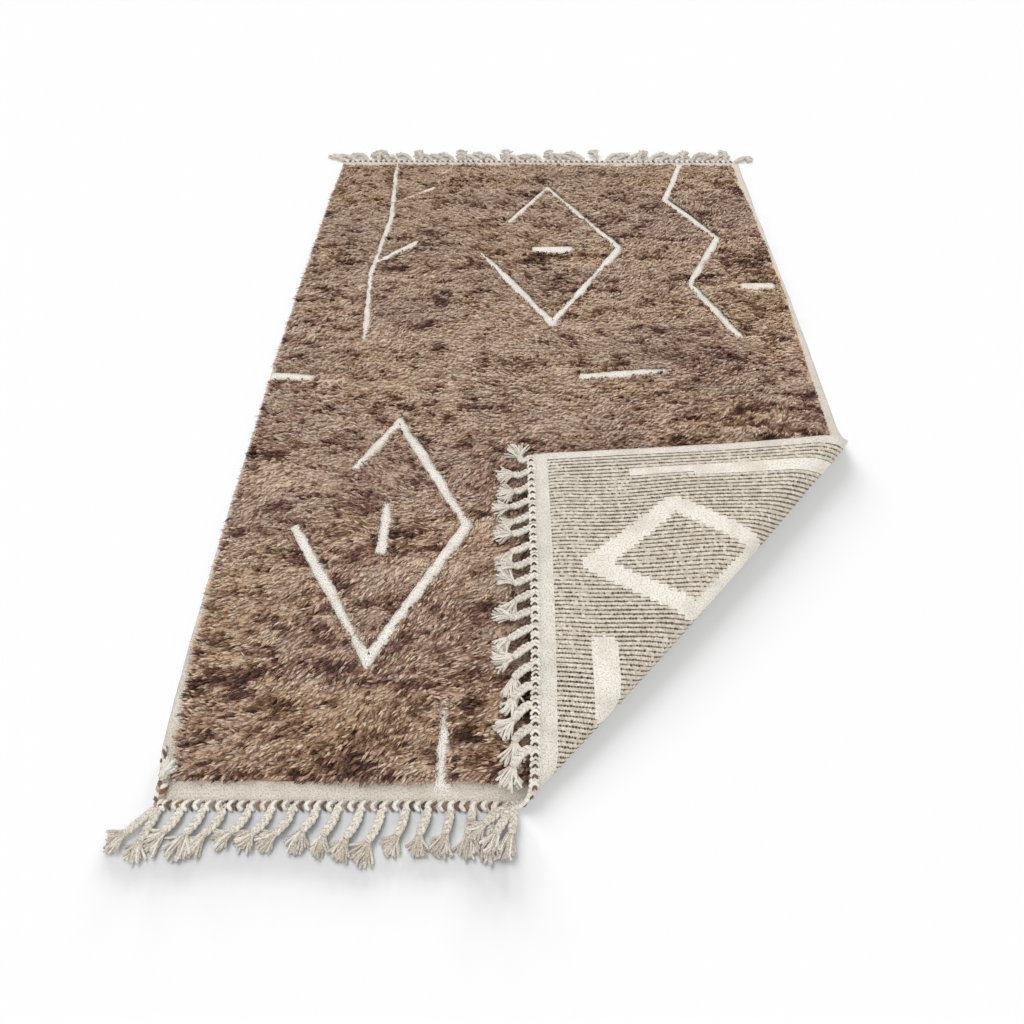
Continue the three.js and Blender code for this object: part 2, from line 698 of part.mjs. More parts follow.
// The far end: a straight twined edge with its plaits, all on the floor.
function farFringe() {
  const left = -side(HALF_LENGTH, 'left');
  const right = side(HALF_LENGTH, 'right');
  const onFloor = plaitsAlong({
    from: -930, to: 932, leans: FAR_LEANS, root: (u) => ({ x: u, y: twineMiddle, z: 0 }),
    square: Math.PI / 2, turn: -1, rest: 0, seed: 120,
  });
  return join([twinedEdge([left, 0, right], 1), ...onFloor, ...cornerPlaits('far')]);
}

const wool = new THREE.MeshStandardMaterial({ color: 0x7d6250, roughness: 0.95, metalness: 0 });
const nearYarn = new THREE.MeshStandardMaterial({ color: 0xc9c2b4, roughness: 0.9, metalness: 0 });
const flapYarn = new THREE.MeshStandardMaterial({ color: 0xd0c9bb, roughness: 0.9, metalness: 0 });
const farYarn = new THREE.MeshStandardMaterial({ color: 0xbfb8aa, roughness: 0.9, metalness: 0 });

function named(name, geometry, material) {
  const mesh = new THREE.Mesh(geometry, material);
  mesh.name = name;
  return mesh;
}

const rug = new THREE.Group();
rug.add(named('rug', rugGeometry(), wool));
rug.add(named('near_fringe', toGeometry(toTriangles(nearFringe())), nearYarn));
rug.add(named('flap_fringe', toGeometry(toTriangles(flapFringe())), flapYarn));
rug.add(named('far_fringe', toGeometry(toTriangles(farFringe())), farYarn));

export default rug;
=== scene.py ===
# %% [markdown]
# # A Beni Mrirt rug with one corner folded over
#
# The rug is a woven ground with wool knotted into it. Cream wool is woven flat between the fields
# of pile, along both ends and down both sides. Each end is bound with two-tone twining, and plaits
# with tassels hang from it. One corner is rolled over, so that the back of the weave shows.
#
# The solids come from the frame. Everything that is added here lies on the same fold, so it is
# first laid out flat, with u across the rug, v along it and n up from its woven back, and then
# taken through one function that folds it.

# %% Load the frame
import math

import bpy
import numpy as np
from mathutils import Matrix, Vector


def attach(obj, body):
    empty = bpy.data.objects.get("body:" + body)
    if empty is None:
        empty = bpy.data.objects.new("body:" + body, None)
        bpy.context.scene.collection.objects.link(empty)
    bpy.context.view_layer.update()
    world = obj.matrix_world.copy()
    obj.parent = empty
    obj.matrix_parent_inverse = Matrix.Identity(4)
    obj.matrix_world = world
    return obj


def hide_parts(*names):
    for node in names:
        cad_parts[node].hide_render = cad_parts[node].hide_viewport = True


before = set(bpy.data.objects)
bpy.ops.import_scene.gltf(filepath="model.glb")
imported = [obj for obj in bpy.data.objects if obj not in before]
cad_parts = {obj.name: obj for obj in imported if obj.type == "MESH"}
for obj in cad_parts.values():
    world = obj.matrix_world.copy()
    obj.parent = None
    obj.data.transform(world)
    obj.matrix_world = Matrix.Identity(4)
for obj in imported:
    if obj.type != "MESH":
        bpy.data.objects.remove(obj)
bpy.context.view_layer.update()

# %% [markdown]
# ## Sizes
#
# All sizes are in metres. The outline is a short table, because a rug off a hand loom is never
# quite straight: each row says how far the sides reach from the middle line, and how much of each
# side is bare selvedge.

# %% The flat rug
LENGTH = 2.956
HALF_LENGTH = LENGTH / 2
WEAVE = 0.005
END_BAND = 0.042
PILE = 0.020
PILE_PRESSED = 0.014

SIDES = {
    "v": (-1.478, -1.360, -1.100, -0.700, -0.288, 0, 0.400, 1.050, 1.250, 1.478),
    "left": (0.974, 0.999, 1.012, 1.020, 1.021, 1.024, 1.022, 1.007, 1.001, 0.994),
    "left_bare": (0.046, 0.040, 0.020, 0.014, 0.012, 0.012, 0.012, 0.012, 0.012, 0.016),
    "right": (1.000, 0.998, 0.994, 0.986, 0.978, 0.985, 0.992, 0.990, 0.993, 0.996),
    "right_bare": (0.027, 0.027, 0.027, 0.027, 0.027, 0.024, 0.012, 0.014, 0.030, 0.030),
}


def side(v, column):
    """How far a side reaches from the middle line at v, or how much of it is bare."""
    return np.interp(v, SIDES["v"], SIDES[column])


def pile_left(v):
    """u of the pile's left edge."""
    return side(v, "left_bare") - side(v, "left")


def pile_right(v):
    """u of the pile's right edge."""
    return side(v, "right") - side(v, "right_bare")


PILE_NEAR = END_BAND - HALF_LENGTH
PILE_FAR = HALF_LENGTH - END_BAND
print("pile field", round(float(pile_right(0) - pile_left(0)), 3), "by", round(PILE_FAR - PILE_NEAR, 3))

# %% [markdown]
# ## Woven lines
#
# Flat-woven lines part the pile. They are lozenges, a zigzag, a stem with twigs and short bars, all
# plain figures of this kind of rug. The last three are on the corner that is folded over, so they
# show from behind. Each row has the line's width and its corners as u, v.

# %% The flat-woven lines
CREAM_LINES = {
    "stem": (0.024, [(-0.715, 1.440), (-0.690, 0.960), (-0.730, 0.540), (-0.700, 0.150)]),
    "stem_high_twig": (0.024, [(-0.698, 1.075), (-0.520, 1.215)]),
    "stem_low_twig": (0.024, [(-0.722, 0.620), (-0.560, 0.770)]),
    "great_lozenge": (
        0.026,
        [(-0.150, 0.930), (0.030, 1.215), (0.330, 0.735), (0.020, 0.235), (-0.270, 0.690)],
    ),
    "lozenge_bar": (0.044, [(-0.030, 0.720), (0.110, 0.724)]),
    "zigzag": (
        0.026,
        [(0.700, 1.440), (0.580, 1.120), (0.770, 0.810), (0.600, 0.480), (0.740, 0.160)],
    ),
    "side_bar": (0.040, [(0.820, 0.470), (0.930, 0.474)]),
    "low_bar": (0.030, [(0.120, -0.060), (0.420, -0.030)]),
    "low_lozenge": (
        0.028,
        [(-0.640, -0.480), (-0.520, -0.280), (-0.270, -0.700), (-0.520, -1.130), (-0.790, -0.720)],
    ),
    "low_lozenge_bar": (0.040, [(-0.520, -0.640), (-0.520, -0.790)]),
    "left_bar": (0.030, [(-1.030, -0.060), (-0.860, -0.070)]),
    "end_bar": (0.030, [(-0.300, -1.440), (-0.300, -1.270)]),
    "back_lozenge": (
        0.058,
        [(0.560, -1.330), (0.760, -1.090), (0.600, -0.870), (0.400, -1.080), (0.560, -1.330)],
    ),
    "back_bar": (0.062, [(0.110, -1.320), (0.300, -1.320)]),
    "back_line": (0.034, [(0.890, -1.180), (0.880, -0.420)]),
}
BACK_FIGURES = ("back_lozenge", "back_bar", "back_line")


def stretches(names):
    """Each straight stretch of the named lines: its start, its end and its width."""
    return [
        (np.array(start), np.array(end), CREAM_LINES[name][0])
        for name in names
        for start, end in zip(CREAM_LINES[name][1], CREAM_LINES[name][1][1:])
    ]


def distance_to_lines(u, v, names=CREAM_LINES):
    """How far each point is from the edge of the nearest woven line, and which way that line lies."""
    best = np.full(u.shape, np.inf)
    toward = np.zeros(u.shape + (2,))
    for start, end, width in stretches(names):
        run = end - start
        share = np.clip(((u - start[0]) * run[0] + (v - start[1]) * run[1]) / (run @ run), 0, 1)
        offset = np.stack([start[0] + share * run[0] - u, start[1] + share * run[1] - v], axis=-1)
        far = np.linalg.norm(offset, axis=-1)
        closer = far - width / 2 < best
        best = np.where(closer, far - width / 2, best)
        toward[closer] = (offset / np.maximum(far, 1e-6)[..., None])[closer]
    return best, toward


print(len(CREAM_LINES), "woven figures,", len(stretches(CREAM_LINES)), "straight stretches")

# %% [markdown]
# ## The fold
#
# The corner rolls over a straight line from the near end to the right side. Past that line the
# cloth follows a circle for a little more than half a turn, slopes down and then lies level on the
# pile below. The circle is wider towards the side. This is the same fold as in the solids.

# %% The fold line and the roll
FOLD_NEAR = np.array([-0.134, -HALF_LENGTH])
FOLD_SIDE = np.array([0.981, -0.288])
ROLL_NEAR = 0.026
ROLL_SIDE = 0.063
ROLL_SWELL = 0.016

fold_length = float(np.linalg.norm(FOLD_SIDE - FOLD_NEAR))
ALONG = (FOLD_SIDE - FOLD_NEAR) / fold_length
PAST = np.array([ALONG[1], -ALONG[0]])


def ramp(value, start, end):
    """0 before start, 1 after end, and an easy curve between."""
    share = np.clip((value - start) / (end - start), 0, 1)
    return share * share * (3 - 2 * share)


def distance_along(u, v):
    """How far a flat point is along the fold line, from the near end."""
    return (u - FOLD_NEAR[0]) * ALONG[0] + (v - FOLD_NEAR[1]) * ALONG[1]


def distance_past(u, v):
    """How far a flat point is past the fold line. It is below 0 on the part that lies open."""
    return (u - FOLD_NEAR[0]) * PAST[0] + (v - FOLD_NEAR[1]) * PAST[1]


def roll_radius(along):
    """Radius of the roll at a distance along the fold line."""
    share = np.clip(along / fold_length, 0, 1)
    return ROLL_NEAR + (ROLL_SIDE - ROLL_NEAR) * share + ROLL_SWELL * 4 * share * (1 - share)


print("fold line", round(fold_length, 3), "m, roll", roll_radius(fold_length / 2).round(3), "m in radius")

# %% Fold a flat point over
FLAP_HEIGHT = 0.049
FLAP_SLOPE = math.radians(3.4)
SETTLE_RADIUS = 0.250
END_SINK = 0.008
SIDE_SINK = 0.006
END_SINK_REACH = 2.6
SIDE_SINK_REACH = 3
SINK_FROM = 0.75 * math.pi


def rolled_path(past, radius):
    """The cloth's back past the fold line: how far out and up it is, and its heading there."""
    roll_end = math.pi + FLAP_SLOPE
    drop = radius * (1 + math.cos(FLAP_SLOPE)) - SETTLE_RADIUS * (1 - math.cos(FLAP_SLOPE))
    slope_length = np.maximum((drop - FLAP_HEIGHT) / math.sin(FLAP_SLOPE), 0)
    rolled = np.minimum(past / radius, roll_end)
    sloped = np.clip(past - radius * roll_end, 0, slope_length)
    after_slope = past - radius * roll_end - slope_length
    settled = np.clip(after_slope / SETTLE_RADIUS, 0, FLAP_SLOPE)
    level = np.maximum(after_slope - SETTLE_RADIUS * FLAP_SLOPE, 0)
    out = (
        radius * np.sin(rolled)
        - sloped * math.cos(FLAP_SLOPE)
        - SETTLE_RADIUS * (math.sin(FLAP_SLOPE) - np.sin(FLAP_SLOPE - settled))
        - level
    )
    up = (
        radius * (1 - np.cos(rolled))
        - sloped * math.sin(FLAP_SLOPE)
        - SETTLE_RADIUS * (np.cos(FLAP_SLOPE - settled) - math.cos(FLAP_SLOPE))
    )
    return out, up, rolled - settled


def edge_sink(u, v, heading):
    """How far the bare edges of the flap sink, because they have no pile below them."""
    at_end = 1 - ramp(v + HALF_LENGTH, 0, END_SINK_REACH * END_BAND)
    at_side = 1 - ramp(side(v, "right") - u, 0, SIDE_SINK_REACH * side(v, "right_bare"))
    return np.maximum(END_SINK * at_end, SIDE_SINK * at_side) * ramp(heading, SINK_FROM, math.pi)


def fold(u, v, n):
    """Takes points of the flat rug to their places in the frame, as an array of x, y, z."""
    u, v, n = np.broadcast_arrays(*(np.asarray(x, float) for x in (u, v, n)))
    past, along = distance_past(u, v), distance_along(u, v)
    out, up, heading = rolled_path(np.maximum(past, 0), roll_radius(along))
    reach = out - n * np.sin(heading)
    folded = np.stack(
        [
            FOLD_NEAR[0] + along * ALONG[0] + reach * PAST[0],
            FOLD_NEAR[1] + along * ALONG[1] + reach * PAST[1],
            up + n * np.cos(heading) - edge_sink(u, v, heading),
        ],
        axis=-1,
    )
    return np.where((past > 0)[..., None], folded, np.stack([u, v, n], axis=-1))


flap_corner = fold(side(-HALF_LENGTH, "right"), -HALF_LENGTH, 0)
print("the flap's corner lands at", flap_corner.round(3))

# %% [markdown]
# ## Chance that repeats
#
# Hand work is uneven, but the script has to give the same rug each time. `scatter` gives one
# number for each index, as the solids use it for their plaits. `drift` is smooth noise with patches
# of a chosen size, for colours and leans that change slowly over the rug.

# %% Repeatable unevenness
CHANCE_STRETCH = 43758.5453
SCATTER_STEP = 12.9898
DRIFT_STEPS = (127.1, 311.7)
SEED_SHIFT = (71.3, 37.7)


def chance(phase):
    """A repeatable number from 0 to 1 for each phase: the fraction of a much stretched sine."""
    wave = np.sin(phase) * CHANCE_STRETCH
    return wave - np.floor(wave)


def scatter(index):
    """A repeatable number from -1 to 1 for each index."""
    return 2 * chance(np.asarray(index, float) * SCATTER_STEP) - 1


def drift(u, v, patches):
    """Smooth noise from 0 to 1 in patches, given as their size across and along, and a seed."""
    across, along, seed = patches
    x, y = u / across + SEED_SHIFT[0] * seed, v / along + SEED_SHIFT[1] * seed
    i, j = np.floor(x), np.floor(y)
    p, q = ramp(x - i, 0, 1), ramp(y - j, 0, 1)

    def at(a, b):
        return chance(a * DRIFT_STEPS[0] + b * DRIFT_STEPS[1])

    near_row = at(i, j) * (1 - p) + at(i + 1, j) * p
    far_row = at(i, j + 1) * (1 - p) + at(i + 1, j + 1) * p
    return near_row * (1 - q) + far_row * q


print("the first chances:", scatter(np.arange(4)).round(3))


# %% [markdown]
# ## Meshes from arrays
#
# A sheet, a cord and a hundred thousand locks are all made the same way: an array of points, an
# array of faces, and for each point the numbers that its material reads. `new_piece` makes the
# object, gives it its finish and makes it ride on the only body. Its UV map called Flat holds the
# place of each point on the flat rug, so that a weave follows the cloth round the fold.

# %% Make a piece
def new_piece(name, points, faces, material, flat=None, values=None):
    """A mesh object from points (N, 3) and faces, a list of arrays with one row for each face."""
    mesh = bpy.data.meshes.new(name)
    corners = np.concatenate([rows.ravel() for rows in faces])
    sizes = np.concatenate([np.full(len(rows), rows.shape[1]) for rows in faces])
    mesh.vertices.add(len(points))
    mesh.vertices.foreach_set("co", np.asarray(points, np.float32).ravel())
    mesh.loops.add(len(corners))
    mesh.loops.foreach_set("vertex_index", corners.astype(np.int32))
    mesh.polygons.add(len(sizes))
    mesh.polygons.foreach_set("loop_start", np.concatenate([[0], np.cumsum(sizes)[:-1]]).astype(np.int32))
    mesh.polygons.foreach_set("use_smooth", np.ones(len(sizes), bool))
    mesh.update(calc_edges=True)
    for key, numbers in (values or {}).items():
        attribute = mesh.attributes.new(key, "FLOAT", "POINT")
        attribute.data.foreach_set("value", np.asarray(numbers, np.float32).ravel())
    if flat is not None:
        layer = mesh.uv_layers.new(name="Flat")
        layer.data.foreach_set("uv", np.asarray(flat, np.float32)[corners].ravel())
    mesh.materials.append(material)
    piece = bpy.data.objects.new(name, mesh)
    bpy.context.scene.collection.objects.link(piece)
    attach(piece, "root")
    print(f"{name}: {len(points)} points, {int((sizes - 2).sum())} triangles")
    return piece


def repeated(pattern, faces, count):
    """The faces of a pattern with so many points, repeated for each copy."""
    starts = (np.arange(count) * pattern)[:, None, None]
    return [(rows[None] + starts).reshape(-1, rows.shape[1]) for rows in faces]


def tube_faces(rings, sides):
    """The walls of a tube and its two end faces, for points that come ring by ring."""
    at = np.arange(rings * sides).reshape(rings, sides)
    after = np.roll(at, -1, axis=1)
    walls = np.stack([at[:-1], at[1:], after[1:], after[:-1]], axis=-1).reshape(-1, 4)
    return [walls, np.stack([at[0], at[-1][::-1]])]


def joined(shapes):
    """Points and faces of several shapes as one. A shape is its points and a list of faces."""
    groups, total = {}, 0
    for points, faces in shapes:
        for kind, rows in enumerate(faces):
            groups.setdefault((kind, rows.shape[1]), []).append(rows + total)
        total += len(points)
    return np.vstack([points for points, _ in shapes]), [np.vstack(rows) for rows in groups.values()]


# %% [markdown]
# ## Shader maths that reads like maths
#
# A finish is a node tree, and a tree of Math nodes is hard to read. `Wire` wraps a socket, so that
# `1 - mask * 0.5` adds the Math nodes itself. `Finish.node` adds any other node: its settings are
# set first, then the values or wires of its sockets.

# %% Wires
class Wire:
    """The output of a node, with the usual operators."""

    def __init__(self, finish, socket):
        self.finish = finish
        self.socket = socket

    def math(self, operation, *others):
        return self.finish.node("ShaderNodeMath", {"operation": operation}, [self, *others])

    def __add__(self, other):
        return self.math("ADD", other)

    def __sub__(self, other):
        return self.math("SUBTRACT", other)

    def __rsub__(self, other):
        return self.finish.node("ShaderNodeMath", {"operation": "SUBTRACT"}, [other, self])

    def __mul__(self, other):
        return self.math("MULTIPLY", other)

    def __truediv__(self, other):
        return self.math("DIVIDE", other)

    def __lt__(self, other):
        return self.math("LESS_THAN", other)

    def __abs__(self):
        return self.math("ABSOLUTE")

    __radd__ = __add__
    __rmul__ = __mul__

    def floor(self):
        return self.math("FLOOR")

    def fraction(self):
        return self.math("FRACT")

    def least(self, other):
        return self.math("MINIMUM", other)

    def most(self, other):
        return self.math("MAXIMUM", other)

    def clipped(self):
        return self.most(0.0).least(1.0)

    def between(self, start, end):
        """0 below start, 1 above end, and an easy curve between."""
        settings = {"interpolation_type": "SMOOTHSTEP"}
        return self.finish.node("ShaderNodeMapRange", settings, [self, start, end])


print("a wire has", sum(callable(x) for x in vars(Wire).values()), "methods")

# %% Finishes
MATT_WOOL = {"Roughness": 0.95, "Specular IOR Level": 0.15, "Sheen Weight": 0.0, "Sheen Roughness": 0.5}


class Finish:
    """A material with one Principled shader, and a method for every other node."""

    def __init__(self, name, values=None):
        self.material = bpy.data.materials.new(name)
        self.material.use_nodes = True
        self.tree = self.material.node_tree
        self.shader = next(n for n in self.tree.nodes if n.type == "BSDF_PRINCIPLED")
        for socket, value in {**MATT_WOOL, **(values or {})}.items():
            self.shader.inputs[socket].default_value = value

    def node(self, kind, settings=None, sockets=(), output=0):
        """Adds a node. sockets is a list from the first socket on, or a dict by name or number."""
        node = self.tree.nodes.new(kind)
        for key, value in (settings or {}).items():
            if key == "stops":
                while len(node.color_ramp.elements) < len(value):
                    node.color_ramp.elements.new(1.0)
                for element, (place, colour) in zip(node.color_ramp.elements, value):
                    element.position = place
                    element.color = (*colour, 1.0)
            else:
                setattr(node, key, value)
        pairs = sockets.items() if isinstance(sockets, dict) else enumerate(sockets)
        for key, value in pairs:
            if isinstance(value, Wire):
                self.tree.links.new(value.socket, node.inputs[key])
            else:
                node.inputs[key].default_value = value
        return Wire(self, node.outputs[output])

    def place(self):
        """The point's place in the frame, in metres."""
        return self.node("ShaderNodeTexCoord", output="Object")

    def flat(self):
        """u and v of the flat rug, in metres."""
        both = self.node("ShaderNodeUVMap", {"uv_map": "Flat"})
        return [self.node("ShaderNodeSeparateXYZ", None, [both], output=axis) for axis in (0, 1)]

    def vector(self, x, y, z=0.0):
        return self.node("ShaderNodeCombineXYZ", None, [x, y, z])

    def value(self, name):
        """A number that each point of the piece carries."""
        return self.node("ShaderNodeAttribute", {"attribute_name": name}, output="Fac")

    def noise(self, where, scale, detail):
        """Soft noise from 0 to 1, with so many waves to a metre where the place is in metres."""
        sockets = {"Vector": where, "Scale": scale, "Detail": detail}
        return self.node("ShaderNodeTexNoise", {"noise_dimensions": "3D"}, sockets)

    def white_noise(self, where):
        """A number from 0 to 1 for each place, with nothing smooth between."""
        return self.node("ShaderNodeTexWhiteNoise", {"noise_dimensions": "3D"}, [where])

    def mix(self, share, first, second):
        """A colour between two, by a share from 0 to 1."""
        first, second = (x if isinstance(x, Wire) else (*x, 1.0) for x in (first, second))
        settings = {"data_type": "RGBA", "clamp_factor": True}
        return self.node("ShaderNodeMix", settings, {0: share, 6: first, 7: second}, output=2)

    def shade(self, colour, amount):
        """A colour made darker or lighter by a number."""
        grey = self.vector(amount, amount, amount)
        settings = {"data_type": "RGBA", "blend_type": "MULTIPLY"}
        return self.node("ShaderNodeMix", settings, {0: 1.0, 6: colour, 7: grey}, output=2)

    def colour(self, wire):
        """Sets the base colour of the finish."""
        self.tree.links.new(wire.socket, self.shader.inputs["Base Color"])

    def bump(self, height, distance):
        """Lifts the surface by height, from 0 to 1, times a distance in metres."""
        normal = self.node("ShaderNodeBump", None, {"Height": height, "Distance": distance})
        self.tree.links.new(normal.socket, self.shader.inputs["Normal"])


def hue(red, green, blue):
    """A colour as the screen shows it, from 0 to 255, as the linear values that a shader takes."""
    return tuple(
        x / 12.92 if x <= 0.04045 else ((x + 0.055) / 1.055) ** 2.4
        for x in (red / 255, green / 255, blue / 255)
    )


print("mid grey in linear values:", round(hue(128, 128, 128)[0], 3))

# %% [markdown]
# ## The woven ground
#
# The ground is wool woven under and over, about 5 mm thick with the backs of the knots. It is one
# thin closed sheet: a grid over the flat rug, once for each face, with walls along the edges. The
# grid is fine only where the back shows. Its lines follow the edges of the pile, so that each face
# is wholly bare weave or wholly knotted, and takes one finish.

# %% Finish of the bare weave
CREAM = hue(226, 221, 211)
CREAM_SHADE = hue(208, 201, 189)
# The front's bare weave takes this cream a little darker: painted shade, as the pile beside it keeps light
# off.
SHADED_FRONT_CREAM = hue(219, 212, 200)
SHADED_FRONT_DARKER = hue(201, 193, 178)
# The woven lines take it a little lighter: painted light, against the shade of the pile around them.
LIT_LINE_CREAM = hue(243, 238, 229)
LIT_LINE_DARKER = hue(228, 222, 212)
CREAM_GRAIN = hue(172, 161, 147)
CREAM_SPECK = hue(112, 100, 90)
WEAVE_SHEEN = {"Sheen Weight": 0.10}
THREAD = 0.0040


def weave_height(u, v):
    """Height of the fine threads of a plain weave, from 0 to 1."""
    over = abs((u / THREAD).fraction() - 0.5)
    along = abs((v / THREAD + (u / THREAD).floor() * 0.5).fraction() - 0.5)
    return 1 - (over + along)


def cream_cloth(finish, u, v, light=CREAM, shade=CREAM_SHADE):
    """The colour of bare cream weave: soft clouds, light and dark grains, now and then a dark speck."""
    where = finish.vector(u, v)
    clouds = finish.noise(where, scale=14, detail=3)
    grains = finish.noise(where, scale=240, detail=4)
    colour = finish.mix(clouds.between(0.40, 0.75), light, shade)
    colour = finish.mix(grains.between(0.56, 0.34) * 0.80, colour, CREAM_GRAIN)
    stray = finish.noise(where, scale=130, detail=0)
    return finish.mix(stray.between(0.82, 0.86) * 0.7, colour, CREAM_SPECK), grains


def cream_weave(name, light, shade):
    """Bare cream weave: end bands and selvedges, and the woven lines in a lighter cream, which is painted
    light.
    """
    finish = Finish(name, WEAVE_SHEEN)
    u, v = finish.flat()
    threads = weave_height(u, v)
    colour, grains = cream_cloth(finish, u, v, light, shade)
    # Darker in the gaps between threads and lighter on their tops: painted shade and light of the weave.
    finish.colour(finish.shade(colour, 0.94 + 0.08 * threads))
    finish.bump(threads + grains * 0.8, distance=0.0014)
    return finish.material


# The front band's darker cream is painted shade.
front_band = cream_weave("front_band", SHADED_FRONT_CREAM, SHADED_FRONT_DARKER)
back_band = cream_weave("back_band", CREAM, CREAM_SHADE)
# The woven lines' lighter cream is painted light.
line_weave = cream_weave("line_weave", LIT_LINE_CREAM, LIT_LINE_DARKER)
print("cream finishes:", front_band.name, back_band.name, line_weave.name)

# %% [markdown]
# On the front, the ground between the locks is the wool of their roots, painted dark as shade. On
# the back, each column of knots is a cream ridge, and dark dashes of wool show between two ridges,
# unevenly and fainter in some places. Between two beads a ridge is painted darker, as shade in the
# notch. The figures of the back are bare cream weave.

# %% Finish of the ground under the pile
# Dark browns of the roots' wool, as it looks between the locks: painted shade.
SHADED_ROOT_DARK = hue(58, 42, 35)
SHADED_ROOT_LIGHT = hue(98, 74, 60)


def knotted_ground():
    """The ground between the locks: the wool of their roots, painted dark as shade."""
    finish = Finish("knotted_ground")
    patch = finish.noise(finish.place(), scale=60, detail=3)
    finish.colour(finish.mix(patch, SHADED_ROOT_DARK, SHADED_ROOT_LIGHT))
    finish.bump(patch, distance=0.003)
    return finish.material


shaded_under_pile = knotted_ground()
print("under the pile:", shaded_under_pile.name)

# %% Finish of the knotted back
KNOT_PITCH = 0.0135
KNOT_DASH = 0.0070
RIDGE_PALE = hue(226, 219, 206)
RIDGE_TAN = hue(196, 184, 167)
RIDGE_GRAIN = hue(150, 136, 119)
RIDGE_NOTCH_SHADE = hue(137, 122, 106)
DASH_DARK = hue(44, 30, 21)
DASH_BROWN = hue(72, 54, 41)


def on_figure(u, v):
    """1 on a woven figure of the back. Its edges step from knot to knot, as on the loom."""
    step_u = ((u / KNOT_PITCH).floor() + 0.5) * KNOT_PITCH
    step_v = ((v / KNOT_DASH).floor() + 0.5) * KNOT_DASH
    inside = None
    for start, end, width in stretches(BACK_FIGURES):
        run = end - start
        share = ((step_u - start[0]) * run[0] + (step_v - start[1]) * run[1]) / float(run @ run)
        share = share.clipped()
        gap_u = step_u - (start[0] + share * run[0])
        gap_v = step_v - (start[1] + share * run[1])
        reached = (gap_u * gap_u + gap_v * gap_v).math("SQRT") < width / 2
        inside = reached if inside is None else inside.most(reached)
    return inside


def woven_back():
    """The back of the knotted field: cream ridges with dashed dark lines, and its cream figures."""
    finish = Finish("woven_back", WEAVE_SHEEN)
    u, v = finish.flat()
    where = finish.vector(u, v)
    wobble = finish.noise(where, scale=105, detail=3) - 0.5

    # beside is 1 between two ridges and 0 on one. broken is 1 between two dashes and 0 in one.
    column = u / KNOT_PITCH + wobble * 0.44
    beside = abs(column.fraction() - 0.5) * 2
    dash = v / KNOT_DASH + column.math("ROUND") * 0.37 + wobble * 0.8
    broken = abs(dash.fraction() - 0.5) * 2

    # Each dash is drawn at its own width and darkness, and each bead of wool is pale in its own way.
    dash_chance = finish.white_noise(finish.vector(column.math("ROUND") * 3.7, dash.floor() * 1.9))
    paleness = finish.white_noise(finish.vector(column.floor() * 5.3 + 0.7, dash.floor() * 2.3))
    patch = finish.noise(where, scale=6, detail=2)
    faint = patch.between(0.42, 0.62)
    half_width = 0.50 - 0.20 * broken - 0.08 * faint + (dash_chance - 0.5) * 0.20
    line = (beside - (1 - half_width)).between(-0.08, 0.12)
    present = (dash_chance - 0.16 * faint).between(0.0, 0.06)
    dark = line * (1 - broken.between(0.45, 1.0) * 0.50) * (0.36 + 0.64 * present)
    dark = dark * (0.82 + 0.18 * dash_chance)

    grains = finish.noise(where, scale=260, detail=4)
    ridge = finish.mix(paleness, RIDGE_PALE, RIDGE_TAN)
    ridge = finish.mix(grains.between(0.56, 0.34) * 0.66, ridge, RIDGE_GRAIN)
    # Between two beads the ridge is darker: painted shade in the notch.
    ridge = finish.mix(broken.between(0.60, 1.0) * 0.26, ridge, RIDGE_NOTCH_SHADE)
    ridge = finish.mix(dark.clipped(), ridge, finish.mix(patch, DASH_DARK, DASH_BROWN))
    knotted = 1 - on_figure(u, v)
    plain, _ = cream_cloth(finish, u, v)
    finish.colour(finish.mix(knotted, plain, ridge))
    beads = knotted * (1 - beside * beside) * (1 - broken * broken * 0.7)
    finish.bump(beads + grains * 0.5 + weave_height(u, v) * 0.25, distance=0.0018)
    return finish.material


back = woven_back()
print("behind:", back.name)

# %% [markdown]
# Wool never lies quite level, so parts of the flap are lifted by a few millimetres, and the outer
# edges stray a little from the outline.

# %% Unevenness of the cloth
FLAP_SWELL = 0.007
FLAP_SWELL_FROM = (0.10, 0.30)
FLAP_PATCHES = (0.24, 0.31, 3)
TIP_HUMP = 0.010
TIP_HUMP_AT = (0.99, -0.56)
TIP_HUMP_REACH = 0.10
TIP_HUMP_FROM = (0.04, 0.12)
EDGE_WOBBLE = 0.004
LEFT_EDGE_PATCHES = (0.11, 1.0, 5)
RIGHT_EDGE_PATCHES = (0.11, 1.0, 6)


def swell(u, v):
    """How far the flap is lifted from its even shape: soft unevenness, and a hump near its tip."""
    past = distance_past(u, v)
    uneven = FLAP_SWELL * ramp(past, *FLAP_SWELL_FROM) * (drift(u, v, FLAP_PATCHES) - 0.5)
    off = ((u - TIP_HUMP_AT[0]) ** 2 + (v - TIP_HUMP_AT[1]) ** 2) / TIP_HUMP_REACH**2
    return uneven + TIP_HUMP * np.exp(-off) * ramp(past, *TIP_HUMP_FROM)


def edge_wobble(v, patches):
    """How far an outer edge strays to the right at v."""
    return EDGE_WOBBLE * (drift(v, v * 0, patches) - 0.5)


print("lift at the hump", round(float(swell(*TIP_HUMP_AT)), 4))

# %% [markdown]
# The sheet's grid has rows along v and columns from one edge to the other. The two outer columns
# lie on the selvedges, so the columns follow the outline, as warps do. Where the back shows, three
# columns make one ridge of knots, which stands a little proud. The columns sway from side to side,
# as warps do on a hand loom.

# %% Grid of the ground sheet
RIDGE_COLUMNS = 3
ROW = 0.015
ROW_AT_TIGHT_ROLL = 0.010
TIGHT_ROLL_TO = -1.30
BACK_SHOWS_TO = -0.25
WIDE_CELL = 0.060
FINE_MARGIN = 0.02
SWAY = 0.012
SWAY_FREE = 0.12
SWAY_PATCHES = (0.30, 0.24, 6)


